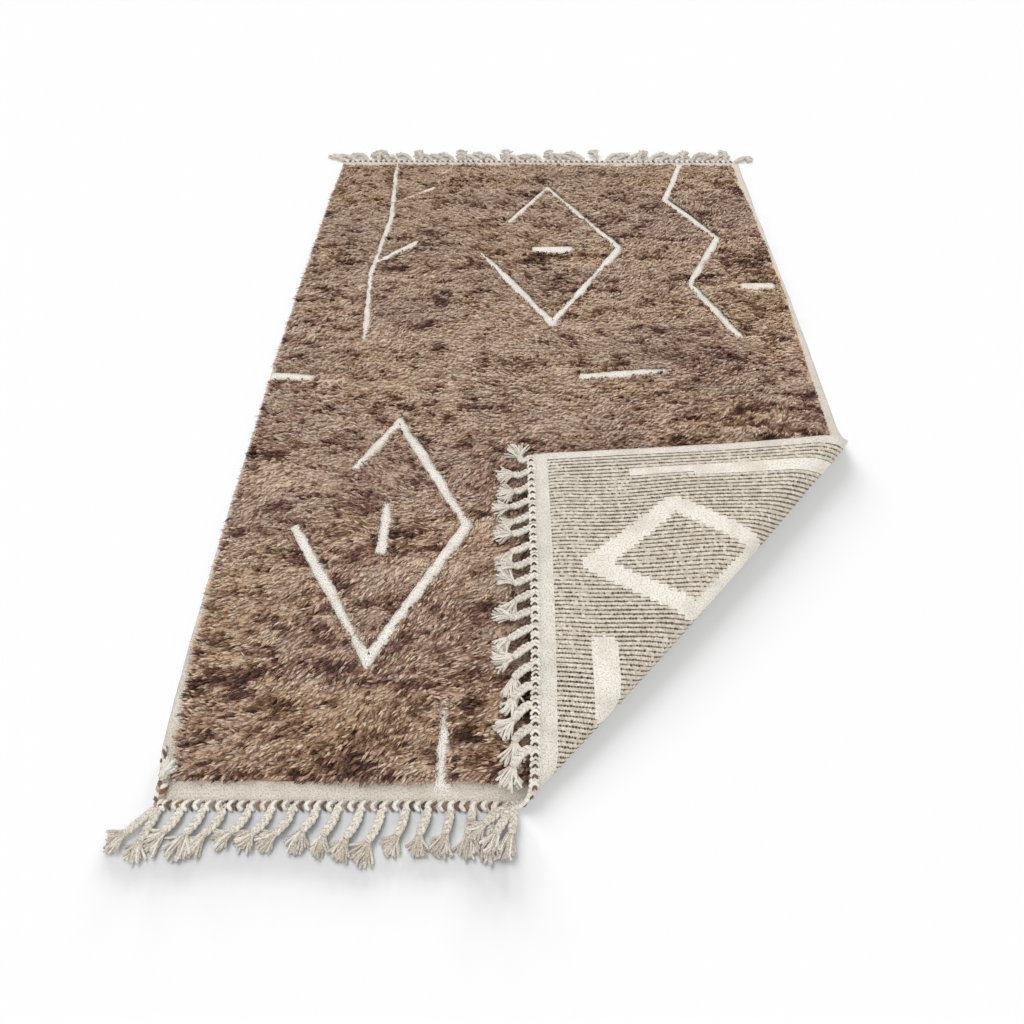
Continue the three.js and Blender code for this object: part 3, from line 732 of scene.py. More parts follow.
def steps(start, end, size):
    """Places from start up to end, no further apart than size, without end."""
    count = max(int(math.ceil((end - start) / size)), 1)
    return list(start + (end - start) * np.arange(count) / count)


def ground_rows():
    """Places along the rug, closest together where the roll is tight."""
    rows = [-HALF_LENGTH, -HALF_LENGTH + END_BAND / 2]
    rows += steps(PILE_NEAR, TIGHT_ROLL_TO, ROW_AT_TIGHT_ROLL) + steps(TIGHT_ROLL_TO, BACK_SHOWS_TO, ROW)
    rows += steps(BACK_SHOWS_TO, PILE_FAR, WIDE_CELL)
    return np.array(rows + [PILE_FAR, HALF_LENGTH - END_BAND / 2, HALF_LENGTH])


def ground_columns():
    """Places across the pile field at its middle, fine where the back can show."""
    cell = KNOT_PITCH / RIDGE_COLUMNS
    first, last = float(pile_left(0)), float(pile_right(0))
    start = math.floor((FOLD_NEAR[0] - FINE_MARGIN) / cell)
    fine = np.arange(start, math.floor(last / cell) + 1) * cell
    return np.concatenate([steps(first, fine[0], WIDE_CELL), fine, [last]])


def ground_grid():
    """u and v of each point of the grid, and its place in the weave, which sways a little."""
    rows, inner = ground_rows()[:, None], ground_columns()
    shares = (inner - inner[0]) / (inner[-1] - inner[0])
    inside = pile_left(rows) + shares[None] * (pile_right(rows) - pile_left(rows))
    from_side = np.minimum(inside - inside[:, :1], inside[:, -1:] - inside)
    from_end = np.minimum(rows - PILE_NEAR, PILE_FAR - rows)
    free = ramp(np.minimum(from_side, from_end), 0.0, SWAY_FREE)
    inside = inside + SWAY * 2 * free * (drift(inside, rows, SWAY_PATCHES) - 0.5)
    left = -side(rows, "left") + edge_wobble(rows, LEFT_EDGE_PATCHES)
    right = side(rows, "right") + edge_wobble(rows, RIGHT_EDGE_PATCHES)
    left_bare, right_bare = inside[:, :1] - left, right - inside[:, -1:]
    u = np.hstack([left, left + left_bare / 2, inside, right - right_bare / 2, right])
    warp = np.hstack(
        [
            inner[0] - left_bare,
            inner[0] - left_bare / 2,
            np.broadcast_to(inner, inside.shape),
            inner[-1] + right_bare / 2,
            inner[-1] + right_bare,
        ]
    )
    return u, np.broadcast_to(rows, u.shape), warp


print("grid of", len(ground_rows()), "rows and", len(ground_columns()) + 4, "columns")

# %% The ground sheet
RIDGE = 0.0012
RIDGE_FADE_AT_FIGURE = 0.008
RIDGE_FADE_AT_EDGE = 0.006
FRONT_BAND_SHADED, UNDER_PILE_SHADED, BACK, BACK_BAND = range(4)


def ridges(u, v, warp):
    """How far the ridges of the back stand out. There are none on figures, bands or the floor."""
    phase = warp / KNOT_PITCH
    across = 2 * (phase - np.floor(phase)) - 1
    gap, _ = distance_to_lines(warp, v, BACK_FIGURES)
    edge = np.minimum(np.minimum(v - PILE_NEAR, pile_right(v) - u), distance_past(u, v))
    fade = ramp(edge, 0.0, RIDGE_FADE_AT_EDGE)
    return RIDGE * (1 - across**2) * ramp(gap, 0.0, RIDGE_FADE_AT_FIGURE) * fade


def sheet_faces(rows, columns):
    """Top, bottom and walls of a sheet whose lower points come first, row by row."""
    count = rows * columns
    at = np.arange(count).reshape(rows, columns)
    a, b, c, d = at[:-1, :-1], at[:-1, 1:], at[1:, 1:], at[1:, :-1]
    top = np.stack([a, b, c, d], axis=-1).reshape(-1, 4) + count
    bottom = np.stack([a, d, c, b], axis=-1).reshape(-1, 4)
    ring = np.concatenate([at[0, :-1], at[:-1, -1], at[-1, :0:-1], at[:0:-1, 0]])
    after = np.roll(ring, -1)
    return top, bottom, np.stack([ring, after, after + count, ring + count], axis=-1)


def sheet_finishes(rows, columns, walls):
    """The finish of each face. Two rows and columns of cells along each edge are bare weave, and on
    the front the roots of the pile start one row, and at the right three columns, further in."""
    front = np.full((rows - 1, columns - 1), FRONT_BAND_SHADED)
    front[3:-3, 3:-5] = UNDER_PILE_SHADED
    behind = np.full((rows - 1, columns - 1), BACK_BAND)
    behind[2:-2, 2:-2] = BACK
    return np.concatenate([front.ravel(), behind.ravel(), np.full(len(walls), BACK_BAND)])


def ground_sheet():
    """The woven ground as one closed sheet, with the finish of each of its faces."""
    u, v, warp = ground_grid()
    lift = swell(u, v)
    lower = fold(u, v, -lift - ridges(u, v, warp)).reshape(-1, 3)
    upper = fold(u, v, WEAVE - lift).reshape(-1, 3)
    faces = sheet_faces(*u.shape)
    flat = np.stack([warp, v], axis=-1).reshape(-1, 2)
    points = np.vstack([lower, upper])
    sheet = new_piece("woven_ground", points, faces, front_band, np.vstack([flat, flat]))
    for finish in (shaded_under_pile, back, back_band):
        sheet.data.materials.append(finish)
    finishes = sheet_finishes(*u.shape, walls=faces[2]).astype(np.int32)
    sheet.data.polygons.foreach_set("material_index", finishes)
    return sheet


ground = ground_sheet()
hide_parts("rug")

# %% [markdown]
# ## Woven lines between the pile
#
# On the front the woven lines are strips of cream weave, a little proud of the ground. They run on
# under the locks beside them, so that the edge which shows is the ragged one of the pile. Each is a
# closed ribbon laid along its corners with a mitre at each, and folded with the rest.

# %% Middle line of a ribbon
RIBBON_STEP = 0.012
RIBBON_INSIDE = 0.006
MITRE_LIMIT = 0.5


def from_rim(u, v):
    """How far a point is inside the pile's outer edge."""
    across = np.minimum(u - pile_left(v), pile_right(v) - u)
    return np.minimum(across, np.minimum(v - PILE_NEAR, PILE_FAR - v))


def ribbon_corners(corners, width):
    """The corners of a line. An open one runs on by half its width, but not past the selvedge."""
    corners = np.array(corners, float)
    if np.allclose(corners[0], corners[-1]):
        return corners, True
    first, last = corners[1] - corners[0], corners[-1] - corners[-2]
    corners[0] -= first / np.linalg.norm(first) * width / 2
    corners[-1] += last / np.linalg.norm(last) * width / 2
    reach_left = RIBBON_INSIDE - side(corners[:, 1], "left")
    reach_right = side(corners[:, 1], "right") - RIBBON_INSIDE
    corners[:, 0] = np.clip(corners[:, 0], reach_left, reach_right)
    return corners, False


def ribbon_middle(corners, closed):
    """Even places along a line of corners, with the mitred sideways direction at each."""
    runs = np.diff(corners, axis=0)
    lengths = np.linalg.norm(runs, axis=1)
    turns = runs / lengths[:, None]
    places, sides = [], []
    for index, (start, run, length) in enumerate(zip(corners, runs, lengths)):
        last = index == len(runs) - 1
        before = turns[index - 1] if index or closed else turns[index]
        here = before + turns[index]
        here = here / np.linalg.norm(here)
        count = max(int(length / RIBBON_STEP), 2)
        for step in range(count + last):
            places.append(start + run * step / count)
            along = here if step == 0 else turns[index]
            if last and step == count and closed:
                along = turns[index] + turns[0]
                along = along / np.linalg.norm(along)
            widening = 1 / max(abs(along @ turns[index]), MITRE_LIMIT)
            sides.append(np.array([-along[1], along[0]]) * widening)
    return np.array(places), np.array(sides)


first_width, first_corners = CREAM_LINES["stem"]
print(len(ribbon_middle(*ribbon_corners(first_corners, first_width))[0]), "places on the stem")

# %% Cream ribbons
RIBBON_RISE = 0.0100
RIBBON_UNDER = 0.0090
RIBBON_UNEVEN = 0.0012
RIBBON_FLUSH = (-0.010, 0.014)
RIBBON_LEAST_RISE = 0.0003
RIBBON_SUNK = 0.0002

# Across the ribbon from edge to edge: shares of its half width and of its rise.
RIBBON_SHAPE = [(-1.0, 0.0), (-0.66, 0.75), (0.0, 1.0), (0.66, 0.75), (1.0, 0.0)]


def ribbon(width, corners, seed):
    """Points, faces and flat places of one closed ribbon."""
    middle, sides = ribbon_middle(*ribbon_corners(corners, width))
    count = len(middle)
    reach = width / 2 + RIBBON_UNDER + RIBBON_UNEVEN * scatter(np.arange(count) + seed)
    flat = np.stack([middle + sides * (x * reach)[:, None] for x, _ in RIBBON_SHAPE], axis=1)
    u, v = flat[..., 0], flat[..., 1]
    rise = np.maximum(RIBBON_RISE * ramp(from_rim(u, v), *RIBBON_FLUSH), RIBBON_LEAST_RISE)
    n = WEAVE + np.array([up for _, up in RIBBON_SHAPE]) * rise - RIBBON_SUNK - swell(u, v)
    return fold(u, v, n).reshape(-1, 3), tube_faces(count, len(RIBBON_SHAPE)), flat.reshape(-1, 2)


def cream_ribbons():
    """All woven lines of the front as one piece."""
    ribbons = [
        ribbon(width, corners, 10 * index)
        for index, (width, corners) in enumerate(CREAM_LINES.values())
    ]
    points, faces = joined([shape[:2] for shape in ribbons])
    flat = np.vstack([shape[2] for shape in ribbons])
    return new_piece("woven_lines", points, faces, line_weave, flat)


lines = cream_ribbons()

# %% [markdown]
# ## The pile
#
# Each knot leaves two cut ends of thick, loosely spun wool, and each end opens into two locks. One
# lock is modelled: a three-sided ring where it is thickest is drawn out to a tip that droops, and
# down to its root. Then the ring is tilted, so that root and tip lie on either side of it. On a level
# ring both would be below it, and part of the lock would be inside out.
#
# Its points are repeated in one array for each field of the rug, with a length, lean, width and
# tone of their own. Knots stand in columns. None stands on a woven line, and none deep between the
# two layers of the fold, where nobody can see it.

# %% Model one lock
LOCK_THICK = 0.0032
LOCK_RISE = PILE
LOCK_LEAN = 0.026
LOCK_TILT = 0.40

# Root, thickest place and tip: shares of the lean and of the rise.
ROOT, RING, TIP = range(3)
LOCK_OUT = np.array([0.0, 0.46, 1.0])
LOCK_UP = np.array([0.0, 0.90, 0.80])
RING_SIDES = 3


def on_ring(point):
    """Whether a point of the lock is on its ring."""
    return bool(abs(point.co.z - LOCK_RISE * LOCK_UP[RING]) < 1e-6)


def draw_out(piece, end):
    """Extrudes the ring of the lock to a point at its tip or root."""
    for point in piece.data.vertices:
        point.select = on_ring(point)
    out, up = LOCK_LEAN * LOCK_OUT, LOCK_RISE * LOCK_UP
    move = {"value": (out[end] - out[RING], 0, up[end] - up[RING])}
    bpy.ops.object.mode_set(mode="EDIT")
    bpy.ops.mesh.extrude_region_move(TRANSFORM_OT_translate=move)
    bpy.ops.mesh.merge(type="CENTER")
    bpy.ops.object.mode_set(mode="OBJECT")


def model_lock():
    """A lock that leans along +X: the x, y, z of its points and its triangles."""
    bpy.ops.object.select_all(action="DESELECT")
    place = (LOCK_LEAN * LOCK_OUT[RING], 0, LOCK_RISE * LOCK_UP[RING])
    bpy.ops.mesh.primitive_circle_add(vertices=RING_SIDES, radius=LOCK_THICK, location=place)
    lock = bpy.context.object
    bpy.ops.object.transform_apply(location=True)
    draw_out(lock, TIP)
    draw_out(lock, ROOT)
    for point in lock.data.vertices:
        if on_ring(point):
            point.co.z -= LOCK_TILT * (point.co.x - place[0])
    bpy.ops.object.mode_set(mode="EDIT")
    bpy.ops.mesh.select_all(action="SELECT")
    bpy.ops.mesh.normals_make_consistent(inside=False)
    bpy.ops.object.mode_set(mode="OBJECT")
    points = np.array([point.co for point in lock.data.vertices])
    faces = np.array([face.vertices for face in lock.data.polygons])
    bpy.data.objects.remove(lock)
    return points, faces


lock_points, lock_faces = model_lock()
lock_step = np.array([np.argmin(abs(x / LOCK_LEAN - LOCK_OUT)) for x in lock_points[:, 0]])
lock_out = LOCK_OUT[lock_step]
lock_middle = lock_out * LOCK_LEAN
side_angle = 2 * math.pi / RING_SIDES
lock_around = np.round(np.arctan2(lock_points[:, 1], lock_points[:, 0] - lock_middle) / side_angle)
print("one lock:", len(lock_points), "points,", len(lock_faces), "triangles")

# %% Where the pile can be seen
SEEN_UNDER = 0.11


def inside_flap(u, v):
    """How far a point of the lower layer is under the flap. It is below 0 where it lies open."""
    corner = flap_corner[:2]

    def inward(start, end):
        run = end - start
        across = run[0] * (v - start[1]) - run[1] * (u - start[0])
        return -across / np.linalg.norm(run)

    return np.minimum(inward(FOLD_NEAR, corner), inward(corner, FOLD_SIDE))


def under_edge(u, v):
    """Whether a place is in the open, or near enough to the flap's edge to be seen under it."""
    past = distance_past(u, v)
    from_edge = np.minimum(v + HALF_LENGTH, side(v, "right") - u)
    on_flap = (past > 0) & (from_edge < SEEN_UNDER)
    below = (past <= 0) & (inside_flap(u, v) < SEEN_UNDER)
    return on_flap | below


print("in the open:", bool(under_edge(0, 0)), "and far under the flap:", bool(under_edge(0.5, -0.6)))

# %% Where the knots are
KNOT_ROW = 0.0136
KNOTS_REACH = 1.02
FIELD_INSET = 0.004
KNOT_UNEVEN = (0.0022, 0.0030)
LOCKS_ACROSS = np.array([-0.0050, -0.0017, 0.0017, 0.0050])
LOCKS_ALONG = np.array([-0.0032, 0.0030, -0.0030, 0.0032])
LOCK_UNEVEN = (0.0012, 0.0016)
LOCKS_FROM_RIM = 0.006
RIM_RAGGED = 0.010
RIM_PATCHES = (0.034, 0.034, 16)

# How far the pile reaches over the edge of a woven line: in broad and fine patches, and at its ends.
LINE_BROAD = 0.015
LINE_FINE = 0.008
LINE_END = 0.005
LINE_END_REACH = 0.060
LINE_BROAD_PATCHES = (0.075, 0.075, 9)
LINE_FINE_PATCHES = (0.024, 0.020, 10)


def from_line_end(u, v):
    """How far each point is from the nearest open end of a woven line."""
    best = np.full(u.shape, np.inf)
    for _, corners in CREAM_LINES.values():
        for end in (corners[0], corners[-1]):
            if corners[0] != corners[-1]:
                best = np.minimum(best, np.hypot(u - end[0], v - end[1]))
    return best


def ragged(u, v):
    """How far the pile reaches over the edge of a woven line: unevenly, and more at its ends."""
    broad = LINE_BROAD * (drift(u, v, LINE_BROAD_PATCHES) - 0.48)
    fine = LINE_FINE * (drift(u, v, LINE_FINE_PATCHES) - 0.5)
    return broad + fine + LINE_END * (1 - ramp(from_line_end(u, v), 0.0, LINE_END_REACH))


def knots():
    """For each lock that can be seen: its u, v and those of its knot, and its nearest woven line."""
    columns = np.arange(-KNOTS_REACH, KNOTS_REACH, KNOT_PITCH)
    rows = np.arange(PILE_NEAR + FIELD_INSET, PILE_FAR - FIELD_INSET, KNOT_ROW)
    dice = np.random.default_rng(7)

    def uneven(places, most):
        return places + dice.uniform(-most, most, places.shape)

    knot_u, knot_v = np.meshgrid(columns, rows)
    knot_u = uneven(knot_u, KNOT_UNEVEN[0])[..., None]
    knot_v = uneven(knot_v, KNOT_UNEVEN[1])[..., None]
    u = uneven(knot_u + LOCKS_ACROSS, LOCK_UNEVEN[0])
    v = uneven(knot_v + LOCKS_ALONG, LOCK_UNEVEN[1])
    owner = np.arange(knot_u.size).reshape(knot_u.shape)
    table = [np.broadcast_to(x, u.shape).ravel() for x in (u, v, knot_u, knot_v, owner)]
    u, v = table[:2]
    gap, toward = distance_to_lines(u, v)
    gap = gap + ragged(u, v)
    rim = LOCKS_FROM_RIM + RIM_RAGGED * (drift(u, v, RIM_PATCHES) - 0.5)
    kept = (from_rim(u, v) > rim) & (gap > 0) & under_edge(u, v)
    return [column[kept] for column in (*table, gap, toward)]


lock_u, lock_v, knot_u, knot_v, knot_index, line_gap, line_toward = knots()
print(len(lock_u), "locks")

# %% [markdown]
# The locks don't all lean alike. Most lie across the rug, and the lean drifts by some tens of
# degrees from place to place. Beside a woven line they part, so that the line stays open. At the
# outer edges they stand steeply, because the bare weave beyond gives them no neighbours to lie on.

# %% Lean of each lock
RIM = 0.024
BESIDE_LINE = 0.020
OVER_RIM = 0.012
OVER_RIM_UNEVEN = 0.9
OVER_LINE = 0.010
MAIN_LEAN = math.radians(196)
SLOW_TURN = 1.3
QUICK_TURN = 0.8
PARTING = 0.6
PARTING_REACH = (0.004, 0.030)
NEAR_TURN_OUT = 0.9
LEFT_TURN_OUT = 0.8
TURN_OUT_REACH = 0.045
LEAN_UNEVEN = 0.4
LEAN_LIMITS = (0.12, 1.4)
SLOW_TURN_PATCHES = (0.42, 0.36, 1)
QUICK_TURN_PATCHES = (0.085, 0.05, 2)
LEAN_PATCHES = (0.12, 0.06, 4)
OVER_RIM_PATCHES = (0.018, 0.018, 27)


def by_knot(seed, spread):
    """A chance that all locks of one knot share."""
    return spread * np.random.default_rng(seed).normal(0, 1, int(knot_index.max()) + 1)[knot_index]


def by_lock(seed, spread):
    """A chance of each lock's own."""
    return spread * np.random.default_rng(seed).normal(0, 1, len(lock_u))


def pressed(u, v):
    """1 where the flap presses the pile down, 0 in the open."""
    return np.where(distance_past(u, v) > 0, 1.0, ramp(inside_flap(u, v), -0.04, 0.03))


def openness(u, v, gap):
    """0 at the rim of the pile or at a woven line, 1 well inside."""
    return np.minimum(ramp(from_rim(u, v), 0.0, RIM), ramp(gap, 0.0, BESIDE_LINE))


def lock_angles(u, v, gap, toward):
    """The heading of each lock: away from a woven line, and outwards at the near and left rims."""
    slow = drift(u, v, SLOW_TURN_PATCHES) - 0.5
    quick = drift(u, v, QUICK_TURN_PATCHES) - 0.5
    angle = MAIN_LEAN + SLOW_TURN * slow + QUICK_TURN * quick
    angle = angle + by_knot(seed=11, spread=0.16) + by_lock(seed=12, spread=0.08)
    parting = PARTING * (1 - ramp(gap, *PARTING_REACH))
    near_rim = NEAR_TURN_OUT * (1 - ramp(v - PILE_NEAR, 0.0, TURN_OUT_REACH))
    left_rim = LEFT_TURN_OUT * (1 - ramp(u - pile_left(v), 0.0, TURN_OUT_REACH))
    x = np.cos(angle) - parting * toward[:, 0] - left_rim
    y = np.sin(angle) - parting * toward[:, 1] - near_rim
    return np.arctan2(y, x)


def lock_leans(u, v, gap):
    """The share of the usual lean of each lock, as far as it has room to lie."""
    lean = 1.0 + LEAN_UNEVEN * (drift(u, v, LEAN_PATCHES) - 0.5)
    lean = lean + by_knot(seed=14, spread=0.12) + by_lock(seed=15, spread=0.08)
    over_rim = OVER_RIM * (1 + OVER_RIM_UNEVEN * (drift(u, v, OVER_RIM_PATCHES) - 0.5))
    over_rim = over_rim + by_lock(seed=28, spread=0.002)
    room = np.minimum(from_rim(u, v) + over_rim, gap + OVER_LINE)
    return np.clip(np.minimum(lean, room / LOCK_LEAN), *LEAN_LIMITS)


lock_angle = lock_angles(lock_u, lock_v, line_gap, line_toward)
lock_lean = lock_leans(lock_u, lock_v, line_gap)
print("mean lean", round(float(lock_lean.mean()), 2))

# %% [markdown]
# Hand-spun wool is never of one tone. It changes in long bands and streaks across the rug, with
# darker blots, and again from knot to knot. Towards the far end the wool is painted a little paler,
# as painted light for the sheen of the far pile, and its patches stand out more. In small patches it
# is painted darker where it lies lower and lighter where it stands higher, and small dark dips are
# scattered: painted shade and light.

# %% Tone of each lock
# Patches of tone: their size across and along the rug, and a seed.
BANDS = (2.6, 0.16, 21)
STREAKS = (0.26, 0.050, 22)
CLUMPS = (0.060, 0.024, 23)
FLECKS = (0.028, 0.013, 24)
WARMTH = (0.38, 0.20, 25)
BLOTS = (0.085, 0.036, 26)
SHADED_DIPS = (0.040, 0.020, 29)
MIDDLE_TONE = 0.67
FAR_PAINTED_SHEEN = 0.14
RIGHT_TONE = -0.11
FAR_CONTRAST = 0.45


def clumps_and_flecks(u, v):
    """Two sizes of unevenness, both from -0.5 to 0.5. The wool lies lower where it is painted darker as
    shade.
    """
    return drift(u, v, CLUMPS) - 0.5, drift(u, v, FLECKS) - 0.5


def wool_tones(u, v):
    """How light and how warm the wool is at a place, both about 0 to 1."""
    bands = drift(u, v, BANDS) - 0.5
    streaks = drift(u, v, STREAKS) - 0.5
    clumps, flecks = clumps_and_flecks(u, v)
    blots = ramp(drift(u, v, BLOTS), 0.66, 0.94)
    shaded_dips = ramp(drift(u, v, SHADED_DIPS), 0.74, 0.96)
    far = ramp(v, -1.2, 0.6)
    broad = 0.20 * bands + 0.38 * streaks - 0.46 * blots
    # Clumps and flecks paint the wool darker where it lies low and lighter where it stands high, and the
    # dips are small dark spots: painted shade and light.
    fine = 0.64 * clumps + 0.54 * flecks - 0.38 * shaded_dips
    # The far pile is painted paler: painted light, for the sheen it shows at a low angle.
    tone = MIDDLE_TONE + FAR_PAINTED_SHEEN * far + RIGHT_TONE * ramp(u, 0.3, 0.9) + broad
    tone = tone + (1 + FAR_CONTRAST * far) * fine
    grey_middle = ramp(v, -1.1, -0.6) * (1 - ramp(v, -0.2, 0.4))
    warm = 0.5 + 0.9 * (drift(u, v, WARMTH) - 0.5) - 0.25 * blots - 0.16 * grey_middle
    return tone, warm


def lock_tones(u, v):
    """The same for each lock. The locks of one knot are of one yarn."""
    tone, warm = wool_tones(u, v)
    tone = tone + by_knot(seed=13, spread=0.25) + by_lock(seed=18, spread=0.07)
    warm = warm + by_knot(seed=19, spread=0.24)
    return np.clip(tone, 0, 1), np.clip(warm, 0, 1)


lock_tone, lock_warm = lock_tones(lock_u, lock_v)
print("mean tone", round(float(lock_tone.mean()), 2), "mean warmth", round(float(lock_warm.mean()), 2))

# %% [markdown]
# The wool's finish reads the numbers that each lock carries. Its tone picks a colour between
# aubergine and pale tan, its warmth moves that towards gold or grey, and the root is painted darker
# than the tip, as shade, because little light gets down there. Streaks run along each lock, as its
# plies do. The packed wool below the tips takes the same colours, painted a fifth darker as shade,
# with streaks that run across the rug.

# %% Finish of the wool
WOOL_STOPS = [
    (0.00, hue(56, 32, 25)),
    (0.20, hue(112, 75, 58)),
    (0.45, hue(193, 154, 127)),
    (0.70, hue(232, 199, 172)),
    (1.00, hue(244, 219, 195)),
]
WOOL_GOLD = hue(206, 168, 122)
WOOL_MAUVE = hue(150, 116, 112)
WOOL_SHEEN = {"Sheen Weight": 0.04}
FUZZ_SCALE = 480


def wool_colour(finish, tone, warm):
    """The wool's colour by its tone, moved towards gold where it is warm and mauve where it isn't."""
    base = finish.node("ShaderNodeValToRGB", {"stops": WOOL_STOPS}, [tone])
    golden = finish.mix(warm.between(0.45, 1.0) * 0.40, base, WOOL_GOLD)
    return finish.mix((1 - warm).between(0.45, 1.0) * 0.38, golden, WOOL_MAUVE)


def pile_wool():
    """The locks: streaks along each, and darker towards the root."""
    finish = Finish("pile_wool", WOOL_SHEEN)
    rise = finish.value("rise")
    plies = finish.noise(finish.vector(finish.value("ply"), rise * 0.7), scale=1.6, detail=2)
    fuzz = finish.noise(finish.place(), FUZZ_SCALE, detail=2)
    tone = finish.value("tone") + (plies - 0.5) * 1.15 + (fuzz - 0.5) * 0.50
    colour = wool_colour(finish, tone, finish.value("warm"))
    finish.colour(finish.shade(colour, 0.24 + 0.68 * rise.between(0.0, 0.8)))
    finish.bump(plies + fuzz * 0.5, distance=0.0016)
    return finish.material


def packed_wool():
    """The packed wool: the same colours, painted darker as shade below the tips, with streaks across the
    rug.
    """
    finish = Finish("packed_wool", WOOL_SHEEN)
    u, v = finish.flat()
    sway = finish.noise(finish.vector(u, v), scale=9, detail=1)
    strands = finish.noise(finish.vector(u * 60, (v + sway * 0.05) * 260), scale=1, detail=3)
    fuzz = finish.noise(finish.place(), FUZZ_SCALE, detail=2)
    tone = finish.value("tone") + (strands - 0.5) * 1.1 + (fuzz - 0.5) * 0.35
    colour = wool_colour(finish, tone, finish.value("warm"))
    # A fifth darker: painted shade, below the tips of the locks.
    finish.colour(finish.shade(colour, 0.80))
    finish.bump(strands + fuzz * 0.4, distance=0.0045)
    return finish.material


wool = pile_wool()
packed = packed_wool()
print("wool finishes:", wool.name, packed.name)

# %% [markdown]
# Below the tips the wool is packed so tightly that it is one soft mass. It is a closed lumpy slab
# that fills the field up to the locks and stops short of the woven lines. Under the flap it ends
# where the locks do, a little way in from the flap's edge.

# %% The packed wool
PACKED_CELL = 0.017
PACKED_RISE = 0.0118
PACKED_LUMPS = 0.0075
PACKED_RIM = 0.026
PACKED_INSET = 0.003
PACKED_FROM_LINE = (0.004, 0.018)
PACKED_TOP_SUNK = 0.0005
PACKED_BOTTOM_SUNK = 0.0025


def slab_faces(kept):
    """Quads of a closed slab over the kept cells of a grid: its top, bottom and walls."""
    rows, columns = np.array(kept.shape) + 1
    at = np.arange(rows * columns).reshape(rows, columns)
    cells = np.stack([at[:-1, :-1], at[:-1, 1:], at[1:, 1:], at[1:, :-1]], axis=-1)[kept]
    starts, ends = cells.ravel(), np.roll(cells, -1, axis=1).ravel()
    count = rows * columns
    rim = ~np.isin(starts * count + ends, ends * count + starts)
    starts, ends = starts[rim], ends[rim]
    walls = np.stack([ends, starts, starts + count, ends + count], axis=-1)
    return np.vstack([cells, cells[:, ::-1] + count, walls])


def packed_grid():
    """u and v of the grid of the packed wool."""
    near, far = PILE_NEAR + FIELD_INSET, PILE_FAR - FIELD_INSET
    rows = np.array(steps(near, far, PACKED_CELL) + [far])[:, None]
    share = np.linspace(0, 1, int((pile_right(0) - pile_left(0)) / PACKED_CELL))[None]
    first, last = pile_left(rows) + PACKED_INSET, pile_right(rows) - PACKED_INSET
    u = first + (last - first) * share
    return u, np.broadcast_to(rows, u.shape)


def packed_rise(u, v):
    """How high the packed wool stands: lumpy, less under the flap, and nothing at a rim or line."""
    gap, _ = distance_to_lines(u, v)
    beside = ramp(gap + ragged(u, v), *PACKED_FROM_LINE)
    inside = np.minimum(ramp(from_rim(u, v), 0.0, PACKED_RIM), beside)
    lumps = PACKED_LUMPS * clumps_and_flecks(u, v)[0]
    return (PACKED_RISE - (PILE - PILE_PRESSED) * pressed(u, v) + lumps) * inside


def packed_field():
    """The slab of packed wool, with the points of its top first and those of its bottom after."""
    u, v = packed_grid()
    top = fold(u, v, WEAVE - PACKED_TOP_SUNK + packed_rise(u, v) - swell(u, v)).reshape(-1, 3)
    bottom = fold(u, v, WEAVE - PACKED_BOTTOM_SUNK - swell(u, v)).reshape(-1, 3)
    seen = under_edge(u, v)
    faces = slab_faces(seen[:-1, :-1] | seen[1:, 1:] | seen[:-1, 1:] | seen[1:, :-1])
    used, compact = np.unique(faces, return_inverse=True)
    tone, warm = wool_tones(u, v)
    points = np.vstack([top, bottom])[used]
    flat = np.tile(np.stack([u, v], axis=-1).reshape(-1, 2), (2, 1))[used]
    values = {"tone": np.tile(tone.ravel(), 2)[used], "warm": np.tile(warm.ravel(), 2)[used]}
    faces = [compact.reshape(faces.shape)]
    return new_piece("packed_wool", points, faces, packed, flat, values)


packed_piece = packed_field()

# %% [markdown]
# Length, width, turn and curl of a lock are matters of chance. Locks are lower and shorter at a rim
# or a woven line, and lie flat under the flap. Those of one knot gather at their tips.

# %% Shape of each lock
GATHER = 0.84
LENGTH_UNEVEN = 0.17
LENGTH_MOST = 1.6
WIDTH_UNEVEN = 0.24
WIDTH_MOST = 1.5
CURL = 0.003
LENGTH_DRIFT = 0.20
LENGTH_PATCHES = (0.2, 0.07, 8)
RIM_HEIGHT = 0.74
RIM_REACH = 0.70
CLUMP_HEIGHT = 0.28
FLECK_HEIGHT = 0.20
ROOT_SUNK = 0.001

lock_height = (by_knot(seed=20, spread=0.12) + by_lock(seed=21, spread=0.05)).clip(-0.30, 0.20)


def lock_chances(count):
    """Each lock's own length, width, turn about its line, and curl."""
    dice = np.random.default_rng(17)
    length = 1 + LENGTH_UNEVEN * dice.normal(0, 1, (count, 1)).clip(-LENGTH_MOST, LENGTH_MOST)
    width = 1 + WIDTH_UNEVEN * dice.normal(0, 1, (count, 1)).clip(-WIDTH_MOST, WIDTH_MOST)
    spin = dice.uniform(0, 2 * math.pi, (count, 1))
    curl = CURL * dice.normal(0, 1, (count, 1))
    return length, width, spin, curl


def lock_heights(chosen, u, v, length, inside):
    """How high each lock stands, as a share of the usual height."""
    press = pressed(u, v)
    height = (1 - press) * length + press * PILE_PRESSED / PILE
    height = height * (1.12 - 0.14 * lock_lean[chosen][:, None])
    height = height * (RIM_HEIGHT + (1 - RIM_HEIGHT) * inside)
    clumps, flecks = clumps_and_flecks(u, v)
    lumps = lock_height[chosen][:, None] + CLUMP_HEIGHT * clumps + FLECK_HEIGHT * flecks
    return height * (1 + lumps)


